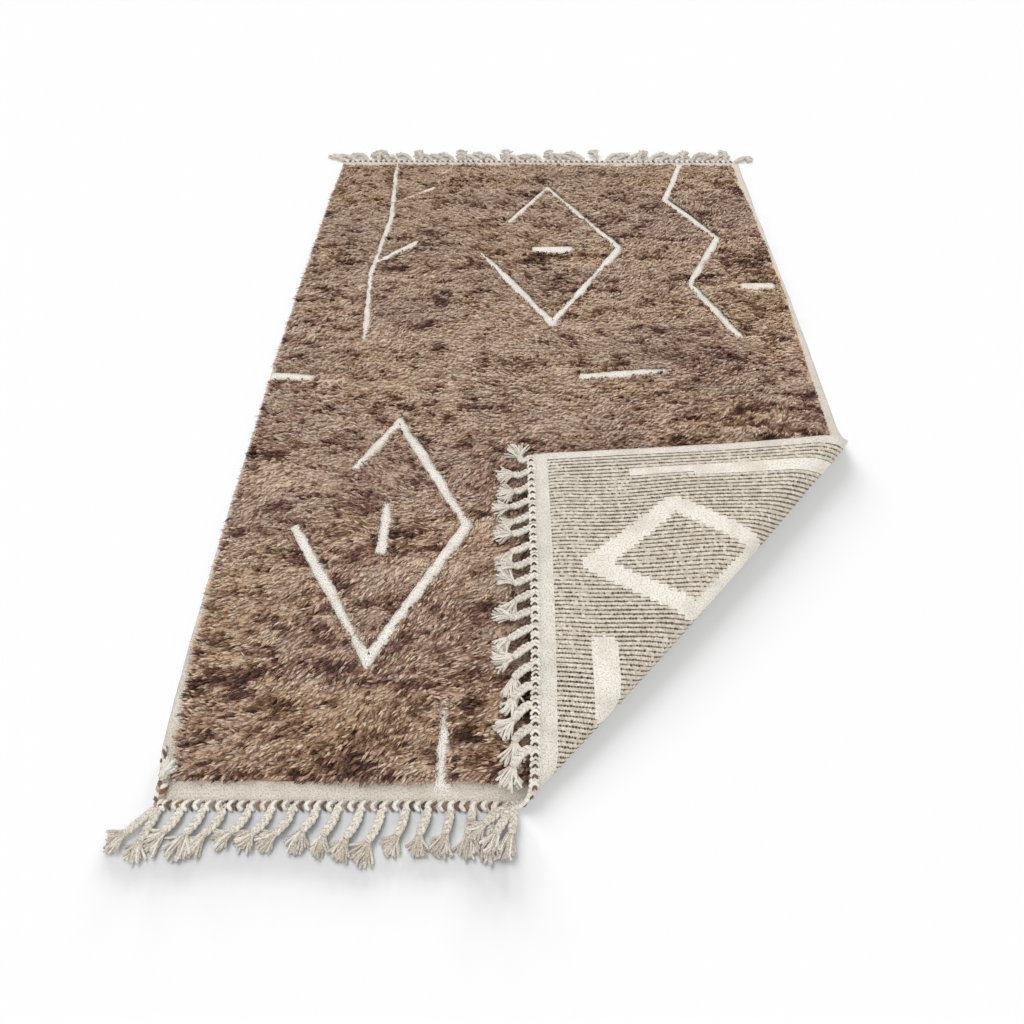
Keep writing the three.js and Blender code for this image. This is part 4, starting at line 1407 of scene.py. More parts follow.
def lock_shapes(chosen):
    """Points of the chosen locks in the frame."""
    u, v, lean, angle, gap, home_u, home_v = (
        column[chosen][:, None]
        for column in (lock_u, lock_v, lock_lean, lock_angle, line_gap, knot_u, knot_v)
    )
    length, width, spin, curl = lock_chances(len(chosen))
    length = length + LENGTH_DRIFT * (drift(u, v, LENGTH_PATCHES) - 0.5)
    inside = openness(u, v, gap)
    thick_x = (lock_points[:, 0] - lock_middle)[None] * width
    thick_y = lock_points[:, 1][None] * width
    forward = thick_x * np.cos(spin) - thick_y * np.sin(spin)
    sideways = thick_x * np.sin(spin) + thick_y * np.cos(spin)
    x = lock_middle * lean * length * (RIM_REACH + (1 - RIM_REACH) * inside) + forward
    y = curl * lock_out**2 + sideways
    gather = GATHER * lock_out * inside
    out_u = u + x * np.cos(angle) - y * np.sin(angle) + (home_u - u) * gather
    out_v = v + x * np.sin(angle) + y * np.cos(angle) + (home_v - v) * gather
    height = LOCK_RISE * LOCK_UP[lock_step] * lock_heights(chosen, u, v, length, inside)
    n = WEAVE - ROOT_SUNK + height - LOCK_TILT * forward - swell(out_u, out_v)
    upright = fold(np.broadcast_to(u, n.shape), np.broadcast_to(v, n.shape), n)
    leaning = fold(out_u, out_v, n)
    crossing = (distance_past(u, v) > 0) != (distance_past(out_u, out_v) > 0)
    return np.where(crossing[..., None], (upright + leaning) / 2, leaning).reshape(-1, 3)


print("chance alters heights by", lock_height.min().round(2), "to", lock_height.max().round(2))

# %% [markdown]
# The locks are made as strips across the rug, so that no mesh grows too heavy. A bake needs a place
# of its own for each face, so each lock gets a small cell of a UV map called OFBake: its six sides
# stand in two rows in the cell.

# %% Fields of locks
LOCKS_EACH = 28000


def bake_cells(count):
    """UV corners of each lock's faces: a square cell each, with its sides in rows of three."""
    across = int(math.ceil(math.sqrt(count)))
    cell = np.stack([np.arange(count) % across, np.arange(count) // across], axis=-1)
    triangles = []
    for index in range(len(lock_faces)):
        left, low = 0.04 + 0.32 * (index % 3), 0.04 + 0.48 * (index // 3)
        triangles.append([(left, low), (left + 0.27, low), (left + 0.13, low + 0.42)])
    return ((np.array(triangles)[None] + cell[:, None, None, :]) / across).reshape(-1, 2)


def pile_field(number, chosen):
    """The chosen locks as one piece, with what their finish reads."""
    size = len(lock_points)
    values = {
        "tone": np.repeat(lock_tone[chosen], size),
        "warm": np.repeat(lock_warm[chosen], size),
        "rise": np.tile(lock_out, len(chosen)),
        "ply": np.repeat(scatter(chosen) * 90, size) + np.tile(lock_around, len(chosen)),
    }
    faces = repeated(size, [lock_faces], len(chosen))
    name = f"pile_field_{number}"
    piece = new_piece(name, lock_shapes(chosen), faces, wool, values=values)
    layer = piece.data.uv_layers.new(name="OFBake")
    layer.data.foreach_set("uv", bake_cells(len(chosen)).astype(np.float32).ravel())
    return piece


strips = np.array_split(np.argsort(lock_v, kind="stable"), math.ceil(len(lock_v) / LOCKS_EACH))
fields = [pile_field(index + 1, chosen) for index, chosen in enumerate(strips)]

# %% [markdown]
# ## Yarn
#
# Everything at the ends is yarn: the twining, the plaits and the tassels. A yarn is a tube round a
# path. `tubes` makes many at once from an array of paths, with rings that stay square to the path,
# and closes both ends.

# %% Tubes along paths
def tubes(paths, radii, sides):
    """Points and faces of closed tubes. paths is (tubes, steps, 3), radii (tubes, steps)."""
    count, length = paths.shape[:2]
    forward = np.gradient(paths, axis=1)
    forward = forward / np.maximum(np.linalg.norm(forward, axis=-1, keepdims=True), 1e-9)
    up = np.broadcast_to([0.0, 0.0, 1.0], forward.shape)
    across = np.cross(forward, up)
    short = np.linalg.norm(across, axis=-1, keepdims=True) < 1e-3
    across = np.where(short, np.broadcast_to([1.0, 0.0, 0.0], forward.shape), across)
    across = across / np.linalg.norm(across, axis=-1, keepdims=True)
    over = np.cross(across, forward)
    turn = np.arange(sides) * 2 * math.pi / sides
    ring = across[:, :, None] * np.cos(turn)[:, None] + over[:, :, None] * np.sin(turn)[:, None]
    points = paths[:, :, None] + ring * radii[:, :, None, None]
    return points.reshape(-1, 3), repeated(length * sides, tube_faces(length, sides), count)


def along_path(values, paths, sides):
    """Numbers for each tube, or for each step of it, as one number for each point."""
    values = np.asarray(values, float)
    if values.ndim == 1:
        values = np.repeat(values[:, None], paths.shape[1], 1)
    return np.repeat(values.ravel(), sides)


# %% Finish of the yarn
YARN_STOPS = [
    (0.00, hue(62, 47, 40)),
    (0.30, hue(118, 94, 80)),
    (0.55, hue(168, 156, 141)),
    (0.80, hue(220, 214, 203)),
    (1.00, hue(235, 232, 226)),
]
YARN_TAN = hue(176, 128, 88)


def yarn_wool():
    """Greige and cream yarn, twisted together, with browns for the dark strokes of the twining."""
    finish = Finish("fringe_yarn", {"Sheen Weight": 0.15})
    tone, warm = finish.value("tone"), finish.value("warm")
    place = finish.place()
    fleck = finish.noise(place, scale=380, detail=3)
    soft = finish.noise(place, scale=60, detail=2)
    mixed = tone + (fleck - 0.5) * 0.85 + (soft - 0.5) * 0.12
    base = finish.node("ShaderNodeValToRGB", {"stops": YARN_STOPS}, [mixed])
    finish.colour(finish.mix(warm * 0.8, base, YARN_TAN))
    finish.bump(fleck, distance=0.0014)
    return finish.material


yarn = yarn_wool()
print("yarn finish:", yarn.name)

# %% [markdown]
# ## The twined edges
#
# Each end is bound by two yarns that twine round the warps. Seen from above this gives a row of
# pointed strokes, brown and cream in turn. On the near edge they point to the left, and seen from
# behind, on the flap, they point to the corner, and the brown ones are smaller. One stroke is a
# short bent tube, and the row is laid out flat and folded with the cloth.

# %% Strokes of the twining
TWINE = 0.0173
TWINE_OVERLAP = 0.005
TWINE_PROUD = 0.001
STROKE_PITCH = 0.0130
STROKE_SLANT = 0.0085
STROKE_RADIUS = 0.0047
STROKE_RISE = 0.0018
STROKE_SIDES = 5
RESTING = 0.98

# How thick a dark stroke is, a cream one on the front and a cream one on the back.
DARK_THICK, FRONT_THICK, BACK_THICK = 0.82, 1.12, 1.28

# The small brown strokes of the back: shares of a whole one's length and size, and their place.
SMALL_REACH = 0.50
SMALL_SIZE = 0.72
SMALL_OUT = 0.0065
SMALL_BEHIND = 0.0058

# One row for each step of a stroke: how far across the edge it is, how far it has swung to its
# point, its height and its thickness, as shares.
STROKE_ACROSS = np.array([0.00, 0.10, 0.28, 0.46, 0.54, 0.72, 0.90, 1.00])
STROKE_SWING = np.array([-0.62, -0.40, 0.15, 0.62, 0.62, 0.15, -0.40, -0.62])
STROKE_HEIGHT = np.array([0.35, 0.75, 1.00, 1.02, 1.02, 1.00, 0.75, 0.35])
STROKE_THICK = np.array([0.45, 0.82, 1.00, 0.98, 0.98, 1.00, 0.82, 0.45])


def stroke_rows(end):
    """For each stroke of one end: its u, whether it is turned over, and whether it is a small one."""
    left, right = -float(side(end * HALF_LENGTH, "left")), float(side(end * HALF_LENGTH, "right"))
    count = int((right - left) / STROKE_PITCH)
    places = left + (np.arange(count) + 0.5) * (right - left) / count
    behind = (end < 0) & (places > FOLD_NEAR[0])
    specks = places[behind & (np.arange(count) % 2 == 0)] + STROKE_PITCH / 2
    u = np.concatenate([places, specks])
    return u, (end < 0) & (u > FOLD_NEAR[0]), np.arange(len(u)) >= count


def stroke_paths(end, u, turned, small, dark):
    """The path of each stroke, bent to its point, and its radii."""
    index = np.arange(len(u))
    points_to = np.where(turned, 1.0, -1.0)[:, None]
    reach = np.where(small, SMALL_REACH, 1.0)[:, None]
    across = -TWINE_OVERLAP + STROKE_ACROSS[None] * (TWINE + TWINE_OVERLAP + TWINE_PROUD) * reach
    across = across + np.where(small, SMALL_OUT, 0.0)[:, None] + 0.0010 * scatter(index + 5)[:, None]
    size = (1 + 0.12 * scatter(index + 40)) * np.where(small, SMALL_SIZE, 1.0)
    along = u[:, None] + points_to * STROKE_SWING[None] * STROKE_SLANT * size[:, None]
    along = along + 0.0014 * scatter(index + 77)[:, None]
    thickness = size * np.where(dark, DARK_THICK, np.where(turned, BACK_THICK, FRONT_THICK))
    radii = STROKE_RADIUS * STROKE_THICK[None] * thickness[:, None]
    middle = WEAVE / 2 + STROKE_RISE * (STROKE_HEIGHT[None] - 0.5)
    middle = middle - np.where(small, SMALL_BEHIND, 0.0)[:, None]
    paths = fold(along, end * (HALF_LENGTH + across), middle)
    paths[..., 2] = np.maximum(paths[..., 2], radii * RESTING)
    return paths, radii


def stroke_tones(u, turned, small, dark):
    """How light each stroke is, and how tan. The brown ones near the fold are the tannest."""
    index = np.arange(len(u))
    brown = np.where(small, 0.06, 0.22 + 0.15 * scatter(index + 3))
    tone = np.where(dark, brown, 0.80 + 0.07 * scatter(index + 9))
    by_fold = np.exp(-(((u - FOLD_NEAR[0]) / 0.10) ** 2))
    tan = np.clip(scatter(index * 1.7 + 2) - 0.25, 0, 1) * np.where(turned, 0.25, 1.0) + 0.5 * by_fold
    return tone, np.where(dark, np.clip(tan, 0, 0.9), 0.0)


print(len(stroke_rows(-1)[0]), "strokes at the near end,", len(stroke_rows(1)[0]), "at the far one")


# %% Twine the edges
def twining(name, end, replaced, on_flap=False):
    """The twined edge of one end: -1 is the near end, 1 the far one. The flap's is a piece apart."""
    u, turned, small = stroke_rows(end)
    dark = small | (~turned & (np.arange(len(u)) % 2 == 0))
    chosen = turned if on_flap else ~turned
    paths, radii = (rows[chosen] for rows in stroke_paths(end, u, turned, small, dark))
    tone, tan = (numbers[chosen] for numbers in stroke_tones(u, turned, small, dark))
    points, faces = tubes(paths, radii, STROKE_SIDES)
    values = {"tone": along_path(tone, paths, STROKE_SIDES), "warm": along_path(tan, paths, STROKE_SIDES)}
    piece = new_piece(name, points, faces, yarn, values=values)
    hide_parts(replaced)
    return piece


near_twining = twining("near_twining", -1, "near_fringe")
flap_twining = twining("flap_twining", -1, "flap_fringe", on_flap=True)
far_twining = twining("far_twining", 1, "far_fringe")

# %% [markdown]
# ## Plaits and tassels
#
# Groups of warps are plaited in three, and each plait ends in a tassel. A plait's middle line leaves
# the edge square to it, turns to its own lean and drops to what it lies on. The three strands swing
# across that line and over each other. The tassel is a wrapped neck and a fan of cut yarns.
#
# The tables of leans are those of the solids: lean from square to the edge in degrees, and length as
# a share of the usual one, at places along the edge.

# %% Tables of the plaits
PLAIT_PITCH = 0.055
PLAIT_LENGTH = 0.112
PLAIT_TURN = 0.5
PLAIT_SHARE = 0.60
UNEVEN_PLACE = 0.004
UNEVEN_LEAN = 5
UNEVEN_LENGTH = 0.07
PILE_CLEARANCE = 0.030
ROOT_UP = 0.004
FLAP_ROOT_UP = 0.003
TWINE_MIDDLE = HALF_LENGTH + 0.0003 + 0.0085

# Where the plaits of each stretch start and end, and the seed of their unevenness.
ON_FLOOR = {"start": -0.915, "end": -0.172, "seed": 10}
ON_PILE = {"start": 0.052, "end": 0.988, "seed": 50}
AT_FAR_END = {"start": -0.930, "end": 0.932, "seed": 120}

NEAR_LEANS = {"u": (-0.940, -0.700, -0.420, -0.150), "lean": (38, 42, 24, 12), "length": (1, 1, 1.02, 0.86)}
FLAP_LEANS = {
    "u": (0.060, 0.300, 0.520, 0.820, 0.990),
    "lean": (52, 38, 6, 2, -26),
    "length": (0.95, 1, 0.9, 0.88, 0.8),
}
FAR_LEANS = {"u": (-0.985, -0.400, 0.200, 0.985), "lean": (-24, 14, -12, 20), "length": (0.95, 0.9, 1, 0.95)}

# Single plaits: x, y and z of the root, heading in degrees from +X, share of the usual length and
# height above the floor. Longer ones hang at the near left corner and short ones at the far corners.
NEAR_CORNER_PLAITS = [(-0.966, -1.487, 0.004, 226, 1.14, 0.0), (-0.960, -1.487, 0.004, 254, 1.06, 0.0)]
FAR_CORNER_PLAITS = [(-0.984, 1.487, 0.004, 150, 0.86, 0.0), (0.986, 1.487, 0.004, 30, 0.86, 0.0)]

# The plaits of the rolled stretch hang off the fold and lie over their neighbours on the floor.
FOLD_PLAITS = [
    (-0.146, -1.488, 0.012, 214, 0.84, 0.010),
    (-0.134, -1.488, 0.012, 238, 0.92, 0.014),
    (-0.126, -1.486, 0.012, 262, 0.80, 0.006),
]
print(len(NEAR_CORNER_PLAITS + FAR_CORNER_PLAITS), "plaits at corners,", len(FOLD_PLAITS), "at the fold")

# %% Place the plaits
def plaits_along(start, end, seed, leans, root, square, turn, rest):
    """The root, square and final headings, length and rest height of each plait on a stretch."""
    count = int(math.floor((end - start) / PLAIT_PITCH + 0.5))
    rows = []
    for index in range(count + 1):
        u = start + (end - start) * index / count + UNEVEN_PLACE * float(scatter(seed + index))
        lean = np.interp(u, leans["u"], leans["lean"]) + UNEVEN_LEAN * scatter(seed + index + 0.3)
        share = np.interp(u, leans["u"], leans["length"]) * (1 + UNEVEN_LENGTH * scatter(seed + index + 0.6))
        rows.append((*root(u), square, square + turn * math.radians(lean), PLAIT_LENGTH * share, rest))
    return rows


def near_root(u):
    """x, y and z of a plait's root on the floor at the near end."""
    return u, -TWINE_MIDDLE, ROOT_UP


def flap_root(u):
    """The same on the flap."""
    return fold(u, -TWINE_MIDDLE, FLAP_ROOT_UP)


def far_root(u):
    """The same at the far end."""
    return u, TWINE_MIDDLE, ROOT_UP


flap_edge = fold(1.0, -HALF_LENGTH, 0) - fold(1.0, -HALF_LENGTH + END_BAND, 0)
flap_square = math.atan2(flap_edge[1], flap_edge[0])
on_floor = plaits_along(
    **ON_FLOOR, leans=NEAR_LEANS, root=near_root, square=-math.pi / 2, turn=-1, rest=0.0
)
on_pile = plaits_along(
    **ON_PILE, leans=FLAP_LEANS, root=flap_root, square=flap_square, turn=1, rest=PILE_CLEARANCE
)
at_far_end = plaits_along(
    **AT_FAR_END, leans=FAR_LEANS, root=far_root, square=math.pi / 2, turn=-1, rest=0.0
)
print("the flap's plaits leave it at", round(math.degrees(flap_square)), "degrees")

# %% [markdown]
# Yarn is less even than the solids. The plaits' lengths differ more here, the last one on the flap
# is turned up, and those of the far end lie over along the edge.

# %% Make the plaits less even
LENGTH_DIFFERS = 0.14
CORNER_TURN = math.radians(-45)
FAR_ASIDE = math.radians(66)
FAR_ROOT_ASIDE = 0.4
FAR_PARTING = 0.24
FAR_ON_TOP = 4
FAR_RISE = 0.006
ON_TOP_ASIDE = 0.15
ON_TOP_LENGTH = 0.66


def single_plait(x, y, z, heading, share, rest):
    """A plait that leaves its root in its final heading."""
    heading = math.radians(heading)
    return x, y, z, heading, heading, PLAIT_LENGTH * share, rest


def uneven(rows, seed):
    """The plaits with lengths that differ more, as they do in yarn."""
    return [
        (*row[:5], row[5] * (1 - LENGTH_DIFFERS / 2 + LENGTH_DIFFERS * float(scatter(seed + index))), row[6])
        for index, row in enumerate(rows)
    ]


def lie_over(row, index):
    """A far plait that nobody has combed: most lie over along the edge, a few on top of the rest."""
    x, y, z, square, _, length, rest = row
    on_top = index % FAR_ON_TOP == 2
    aside = FAR_ASIDE * (ON_TOP_ASIDE if on_top else 1) * (1 if x < FAR_PARTING else -1)
    heading = square + aside + 0.22 * float(scatter(430 + index))
    rest = FAR_RISE * (2.0 if on_top else index % 2)
    share = ON_TOP_LENGTH if on_top else 0.98 + 0.12 * float(scatter(450 + index))
    return x, y, z, square + FAR_ROOT_ASIDE * aside, heading, length * share, rest


on_floor, on_pile = uneven(on_floor, 300), uneven(on_pile, 350)
last = on_pile[-1]
on_pile[-1] = (*last[:4], last[4] + CORNER_TURN, *last[5:])
at_far_end = [lie_over(row, index) for index, row in enumerate(at_far_end)]
on_floor += [single_plait(*row) for row in NEAR_CORNER_PLAITS + FOLD_PLAITS]
at_far_end += [single_plait(*row) for row in FAR_CORNER_PLAITS]
print(len(on_floor), "plaits on the floor,", len(on_pile), "on the pile,", len(at_far_end), "at the far end")

# %% One plait
STRAND = 0.0046
STRAND_SWING = 0.0064
STRAND_OVER = 0.0034
STRANDS_UP = STRAND + STRAND_OVER
BRAID_LENGTH = 0.034
PLAIT_STEPS = 17
PLAIT_BURIED = 0.04
LINE_STEPS = 80
STRAND_SIDES = 5


def walk(start, headings, step):
    """Places on a line that takes one step in each heading but the first."""
    return start + np.concatenate([[0], np.cumsum(headings[1:] * step)])


def plait_line(row, share, height):
    """Places on the middle line of a plait at shares of its length, and the heading at each."""
    x, y, z, square, heading, length, rest = row
    fine = np.linspace(0, 1, LINE_STEPS + 1)
    turned = ramp(fine, 0, PLAIT_TURN)
    turn = square + (heading - square) * turned
    step = length / LINE_STEPS
    line = (walk(x, np.cos(turn), step), walk(y, np.sin(turn), step), z + (rest + height - z) * turned)
    places = np.stack([np.interp(share, fine, numbers) for numbers in line], axis=-1)
    return places, np.interp(share, fine, turn)


def plait_end(row):
    """Where the plait passes into its tassel, and its heading there."""
    places, turn = plait_line(row, np.array([PLAIT_SHARE]), STRANDS_UP)
    return places[0], turn[0]


def plait_strands(row, seed, thickness):
    """Three strand paths of one plait, braided round its middle line, and their radii."""
    share = np.linspace(-PLAIT_BURIED, PLAIT_SHARE, PLAIT_STEPS)
    middle, turn = plait_line(row, np.maximum(share, 0), STRANDS_UP * thickness)
    behind = np.minimum(share, 0) * row[5]
    middle = middle + np.stack([np.cos(turn) * behind, np.sin(turn) * behind, 0 * behind], axis=-1)
    beside = np.stack([-np.sin(turn), np.cos(turn), 0 * turn], axis=-1)
    taper = thickness * (0.70 + 0.30 * ramp(share, 0, 0.2)) * (1 - 0.12 * ramp(share, 0.45, PLAIT_SHARE))
    paths = []
    for strand in range(3):
        phase = 2 * math.pi * (share * row[5] / BRAID_LENGTH + strand / 3 + seed * 0.21)
        path = middle + beside * (STRAND_SWING * np.sin(phase) * taper)[:, None]
        path[:, 2] += STRAND_OVER * np.sin(2 * phase) * taper
        paths.append(path)
    return np.array(paths), STRAND * np.broadcast_to(taper, (3, PLAIT_STEPS))


print("a braid's turn takes", BRAID_LENGTH, "m and a plait", round(PLAIT_LENGTH * PLAIT_SHARE, 3), "m")


# %% [markdown]
# A tassel is the loose end of the plait's own yarns. They leave a wrapped neck, spread out and lie in
# three layers, with their tips on a rounded line like those of a brush.

# %% One tassel
YARN = 0.0027
YARN_STEPS = 7
YARN_SIDES = 4
YARNS = 26
YARN_LAYERS = 3
TASSEL_LENGTH = 0.052
FAN = math.radians(33)
NECK = 0.0064
NECK_WRAP = 0.0024
NECK_TURNS = (-0.025, 0.015)
NECK_STEPS = 9
TIP_ROUNDING = 0.20
TIP_UNEVEN = 0.14


def yarn_angles(share, fan, own):
    """How far one yarn of a tassel turns from its plait's heading: by its fan, and by its curl."""
    curl = 1.1 * scatter(own + 0.7) * (share - 0.25) - 0.9 * fan * ramp(share, 0.45, 1.3)
    return fan * 1.25 * ramp(share, -0.5, 0.55), curl


def tassel_yarns(row, seed, size, openness, flop):
    """The paths of the cut yarns of one tassel, from the plait's end outwards, and their radii."""
    start, turn = plait_end(row)
    turn = turn + flop * float(scatter(seed * 2.1 + 0.1))
    length = TASSEL_LENGTH * size * (1 + 0.14 * scatter(seed * 1.3 + 0.2))
    spread = FAN * openness * (1 + 0.22 * scatter(seed + 0.5))
    share = np.linspace(0, 1, YARN_STEPS)
    paths = []
    for index in range(YARNS):
        from_middle = 2 * index / (YARNS - 1) - 1
        own = seed * 17.3 + index
        reach = length * (1 - TIP_ROUNDING * from_middle**2 + TIP_UNEVEN * scatter(own + 0.4))
        fanned, curl = yarn_angles(share, spread * (from_middle + 0.16 * scatter(own)), own)
        angle = turn + fanned + curl
        step = reach / (YARN_STEPS - 1)
        layer = (index * 2) % YARN_LAYERS
        lying = row[6] + YARN * (1.05 + 1.7 * layer * (1 - 0.55 * share))
        z = lying + (start[2] - lying) * (1 - ramp(share, 0, 0.40))
        across = NECK * 0.75 * from_middle * (1 - ramp(share, 0, 0.6))
        x = walk(start[0], np.cos(angle), step) - math.sin(turn) * across
        y = walk(start[1], np.sin(angle), step) + math.cos(turn) * across
        paths.append(np.stack([x, y, z], axis=-1))
    radii = YARN * np.broadcast_to(0.85 + 0.30 * ramp(share, 0, 0.5), (YARNS, YARN_STEPS))
    return np.array(paths), radii


def tassel_neck(row, thickness):
    """Two turns of yarn wrapped round the neck of a tassel."""
    middle, turn = plait_line(row, PLAIT_SHARE + np.array(NECK_TURNS), STRANDS_UP)
    angle = np.linspace(0, 2 * math.pi, NECK_STEPS)
    paths = []
    for place, heading in zip(middle, turn):
        beside = np.array([-math.sin(heading), math.cos(heading), 0])
        ring = np.cos(angle)[:, None] * beside + np.sin(angle)[:, None] * np.array([0, 0, 0.85])
        paths.append(place + NECK * thickness * ring)
    return np.array(paths), np.full((len(paths), NECK_STEPS), NECK_WRAP * thickness)


print("one tassel:", YARNS, "yarns of", YARN_STEPS, "rings")


# %% [markdown]
# Each stretch of plaits becomes one mesh. A list holds its cords with the number of sides and the
# tone of each, and `bundle` joins them.

# %% Hang the plaits
def bundle(name, parts):
    """One piece of many cords. parts has rows of paths, radii, sides, tones and warmth."""
    shapes, tones, warmths = [], [], []
    for paths, radii, sides, tone, warm in parts:
        paths[..., 2] = np.maximum(paths[..., 2], radii)
        shapes.append(tubes(paths, radii, sides))
        tones.append(along_path(tone, paths, sides))
        warmths.append(along_path(np.zeros(len(paths)) + warm, paths, sides))
    points, faces = joined(shapes)
    values = {"tone": np.concatenate(tones), "warm": np.concatenate(warmths)}
    return new_piece(name, points, faces, yarn, values=values)


def plait_and_tassel(row, key, light, thickness, size, openness, flop):
    """The cords of one plait with its tassel."""
    strands, thick = plait_strands(row, key, thickness)
    yarns, thin = tassel_yarns(row, key, size, openness, flop)
    neck, wrap = tassel_neck(row, thickness)
    return [
        (strands, thick, STRAND_SIDES, light + 0.07 * scatter(key + np.arange(3) * 0.3), 0),
        (yarns, thin, YARN_SIDES, light - 0.02 + 0.13 * scatter(key * 3 + np.arange(YARNS)), 0),
        (neck, wrap, YARN_SIDES, np.array([light + 0.02, light - 0.02]), 0),
    ]


def hang_plaits(name, rows, seed, **look):
    """All plaits and tassels of one stretch, with one look."""
    parts = []
    for index, row in enumerate(rows):
        parts += plait_and_tassel(row, seed + index, **look)
    return bundle(name, parts)


# light is the tone, thickness that of the plaits, size and openness those of the tassels, and flop
# says how far a tassel may turn from its plait, in radians.
NEAR_LOOK = {"light": 0.73, "thickness": 1.08, "size": 1.0, "openness": 1.0, "flop": 0.35}
FLAP_LOOK = {"light": 0.745, "thickness": 1.18, "size": 1.08, "openness": 1.05, "flop": 0.85}
FAR_LOOK = {"light": 0.67, "thickness": 1.25, "size": 0.88, "openness": 1.2, "flop": 0.7}

near_plaits = hang_plaits("near_plaits", on_floor, ON_FLOOR["seed"], **NEAR_LOOK)
flap_plaits = hang_plaits("flap_plaits", on_pile, ON_PILE["seed"], **FLAP_LOOK)
far_plaits = hang_plaits("far_plaits", at_far_end, AT_FAR_END["seed"], **FAR_LOOK)

# %% [markdown]
# ## The cord at the near left corner
#
# The ends of the twining yarn are turned back up the bare selvedge: a thick two-tone plait as far as
# a knot, where whitish tufts lean over the pile, and a thin twisted cord that goes on along the
# edge.

# %% Tufts, knot and thin cord
CORD_LENGTH = 0.092
CORD_ROW = (-0.966, -1.484, 0.010, math.radians(92), math.radians(86), CORD_LENGTH, 0.005)
TUFTS = {"heading": (74, 50, 62), "size": (0.80, 0.74, 0.86), "rest": (0.014, 0.024, 0.030)}
TUFT_FAN = 0.30
TUFT_FLOP = 0.3
TUFT_THICK = 1.15
KNOT = 0.0095
KNOT_YARN = 0.0040
KNOT_STEPS = 13
THIN_CORD = 0.0034
THIN_CORD_TURN = 0.022
THIN_CORD_LENGTH = 0.075
THIN_CORD_INSET = 0.008
THIN_CORD_SWAY = 0.002
THIN_CORD_STEPS = 19

cord_end, _ = plait_end(CORD_ROW)


def tufts():
    """The cut ends of yarn at the knot, as tassels that share one root."""
    back = CORD_LENGTH * PLAIT_SHARE
    parts = []
    for index, (heading, size, rest) in enumerate(zip(*TUFTS.values())):
        lean = math.radians(heading)
        start = (cord_end[0] - math.cos(lean) * back, cord_end[1] - math.sin(lean) * back, cord_end[2])
        row = (*start, lean, lean, CORD_LENGTH, rest)
        yarns, thin = tassel_yarns(row, 91 + index, size, TUFT_FAN, TUFT_FLOP)
        tone = 0.78 + 0.10 * scatter(np.arange(YARNS) + index)
        parts.append((yarns, thin * TUFT_THICK, YARN_SIDES, tone, 0))
    return parts


def knot_rings():
    """Two rings of yarn that cross, as the knot."""
    angle = np.linspace(0, 2 * math.pi, KNOT_STEPS)
    ring = np.stack([np.cos(angle), np.sin(angle), 0.5 * np.sin(2 * angle)], axis=-1)
    first = ring * [KNOT, KNOT * 0.8, 0.005]
    second = ring[:, [1, 0, 2]] * [KNOT, KNOT * 0.6, 0.004]
    return cord_end + np.stack([first, second])


def thin_cord():
    """Two yarns twisted round a line that follows the rug's edge."""
    share = np.linspace(0, 1, THIN_CORD_STEPS)
    y = cord_end[1] + THIN_CORD_LENGTH * share
    x = -side(y, "left") + THIN_CORD_INSET + THIN_CORD_SWAY * np.sin(share * 9)
    paths = []
    for phase in (0, math.pi):
        turn = 2 * math.pi * THIN_CORD_LENGTH * share / THIN_CORD_TURN + phase
        z = WEAVE + THIN_CORD * (1.4 + 0.8 * np.sin(turn))
        paths.append(np.stack([x + THIN_CORD * 0.8 * np.cos(turn), y, z], axis=-1))
    return np.array(paths)


print("the knot is at", cord_end.round(3))

# %% Corner cord
CORD_THICKNESS = 1.3
CORD_STRANDS = {"tone": np.array([0.16, 0.52, 0.80]), "warm": np.array([0.25, 0.1, 0])}
KNOT_TONES = np.array([0.84, 0.20])
THIN_CORD_TONES = np.array([0.80, 0.26])


def corner_cord():
    """The thick plait, its tufts and knot, and the thin cord, as one piece."""
    strands, thick = plait_strands(CORD_ROW, 4, CORD_THICKNESS)
    knot_radii = np.full((2, KNOT_STEPS), KNOT_YARN)
    thin_radii = np.full((2, THIN_CORD_STEPS), THIN_CORD)
    parts = [
        (strands, thick, STRAND_SIDES, *CORD_STRANDS.values()),
        *tufts(),
        (knot_rings(), knot_radii, STRAND_SIDES, KNOT_TONES, 0),
        (thin_cord(), thin_radii, YARN_SIDES, THIN_CORD_TONES, 0),
    ]
    return bundle("corner_cord", parts)


corner = corner_cord()

# It was woven 2.00 by 2.96 m, and lies folded with its pile, twining and plaits on it.

# %% [markdown]
# ## Floor, light and camera
#
# The floor is plain and pale. An even sky gives most of the light, and a broad lamp far away at the
# back left models the folds and the pile. The other lamps light the floor alone. One leaves the
# soft shadow beside the fold. The low ones leave that before the near end: only the near plaits,
# their twining and the corner cord stand in their way, or else the fold would throw a long streak.
# The last one comes from the left and leaves the faint rim of shade along the far right side.
# Lamps of the sun kind light the whole floor evenly. The camera stands at eye height before the
# near end.

# %% Floor
FLOOR_ALBEDO = 0.2025
FLOOR_PAINT = {"Base Color": (*[FLOOR_ALBEDO] * 3, 1), "Roughness": 0.9, "Specular IOR Level": 0}
FLOOR_SIZE = 60
FLOOR_BELOW = 0.0008


def plain_floor():
    """A wide floor, a hair below the rug so that the two never share a place."""
    bpy.ops.object.select_all(action="DESELECT")
    bpy.ops.mesh.primitive_plane_add(size=FLOOR_SIZE, location=(0, 0, -FLOOR_BELOW))
    floor = bpy.context.object
    floor.name = "floor"
    floor.data.materials.append(Finish("floor_paint", FLOOR_PAINT).material)
    return floor


floor = plain_floor()
print("floor of", FLOOR_SIZE, "m")

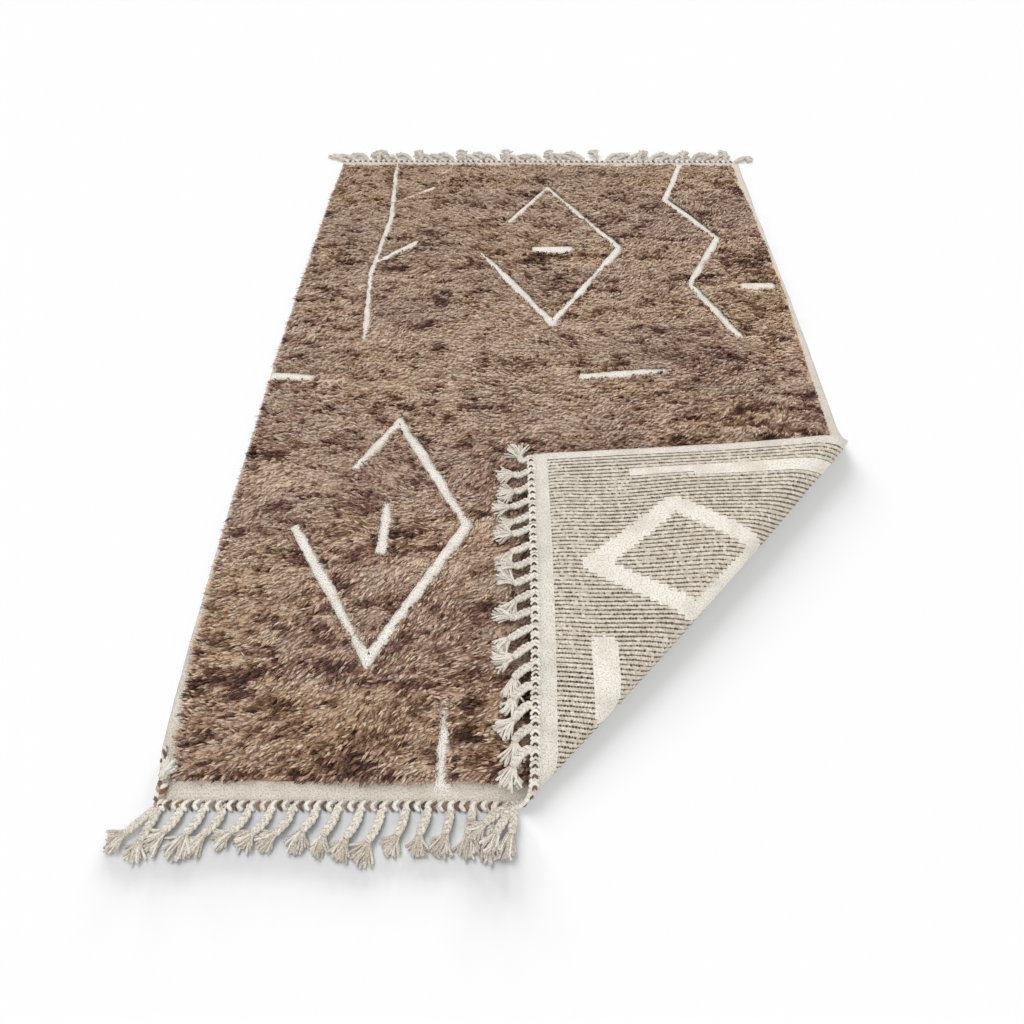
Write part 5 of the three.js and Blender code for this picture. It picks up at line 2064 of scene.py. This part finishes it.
# %% Lamps and sky
SKY = 1.18
HIGH_SUN = {"azimuth": 125, "height": 62, "width": 60, "power": 0.60}
SIDE_SUN = {"azimuth": 125, "height": 43, "width": 38, "power": 7.33}
LOW_SUN = {"height": 8.5, "width": 10, "power": 8.35}
LOW_SUN_AZIMUTHS = (78, 100, 122)
EDGE_SUN = {"azimuth": 100, "height": 4.5, "width": 6, "power": 17.2}
RIM_SUN = {"azimuth": 180, "height": 24, "width": 24, "power": 2.83}


def sun(name, azimuth, height, width, power):
    """A lamp far away: azimuth in degrees from +X, height above the floor, width of its disc."""
    light = bpy.data.lights.new(name, "SUN")
    light.angle = math.radians(width)
    light.energy = power
    holder = bpy.data.objects.new(name, light)
    turn, up = math.radians(azimuth), math.radians(height)
    away = Vector((math.cos(turn) * math.cos(up), math.sin(turn) * math.cos(up), math.sin(up)))
    holder.rotation_euler = (-away).to_track_quat("-Z", "Y").to_euler()
    bpy.context.scene.collection.objects.link(holder)
    return holder


def light_only(lamp, piece, shaded_by=()):
    """Lets a lamp light one piece alone, shaded by all the others or only by some."""
    lit = bpy.data.collections.new(lamp.name + "_lights")
    lit.objects.link(piece)
    lamp.light_linking.receiver_collection = lit
    if shaded_by:
        shading = bpy.data.collections.new(lamp.name + "_shadows")
        for other in shaded_by:
            shading.objects.link(other)
        lamp.light_linking.blocker_collection = shading


def sky(strength):
    """An even white sky."""
    world = bpy.data.worlds.new("sky")
    world.use_nodes = True
    background = next(n for n in world.node_tree.nodes if n.type == "BACKGROUND")
    background.inputs["Color"].default_value = (1, 1, 1, 1)
    background.inputs["Strength"].default_value = strength
    bpy.context.scene.world = world


sun("high_sun", **HIGH_SUN)
light_only(sun("side_sun", **SIDE_SUN), floor)
for azimuth in LOW_SUN_AZIMUTHS:
    low_sun = sun(f"low_sun_{azimuth}", azimuth=azimuth, **LOW_SUN)
    light_only(low_sun, floor, shaded_by=[near_plaits, near_twining, corner])
light_only(sun("edge_sun", **EDGE_SUN), floor, shaded_by=[near_twining])
light_only(sun("rim_sun", **RIM_SUN), floor, shaded_by=fields[2:])
sky(SKY)
bpy.context.scene.view_settings.view_transform = "Standard"

# %% Camera
FOCAL_PIXELS = 609.3
IMAGE_PIXELS = 1024
SENSOR = 36
CAMERA_PLACE = (-0.1322, -1.7061, 1.5843)
CAMERA_PITCH = math.radians(56.24)
CAMERA_YAW = math.radians(-0.196)
CAMERA_ROLL = math.radians(0.03)

camera = bpy.data.objects.new("camera", bpy.data.cameras.new("camera"))
camera.data.sensor_width = SENSOR
camera.data.lens = FOCAL_PIXELS / IMAGE_PIXELS * SENSOR
forward = Vector(
    (
        math.sin(CAMERA_YAW) * math.cos(CAMERA_PITCH),
        math.cos(CAMERA_YAW) * math.cos(CAMERA_PITCH),
        -math.sin(CAMERA_PITCH),
    )
)
aim = forward.to_track_quat("-Z", "Y").to_matrix().to_4x4() @ Matrix.Rotation(CAMERA_ROLL, 4, "Z")
camera.matrix_world = Matrix.Translation(CAMERA_PLACE) @ aim
bpy.context.scene.collection.objects.link(camera)
bpy.context.scene.camera = camera
print("lens", round(camera.data.lens, 2), "mm")
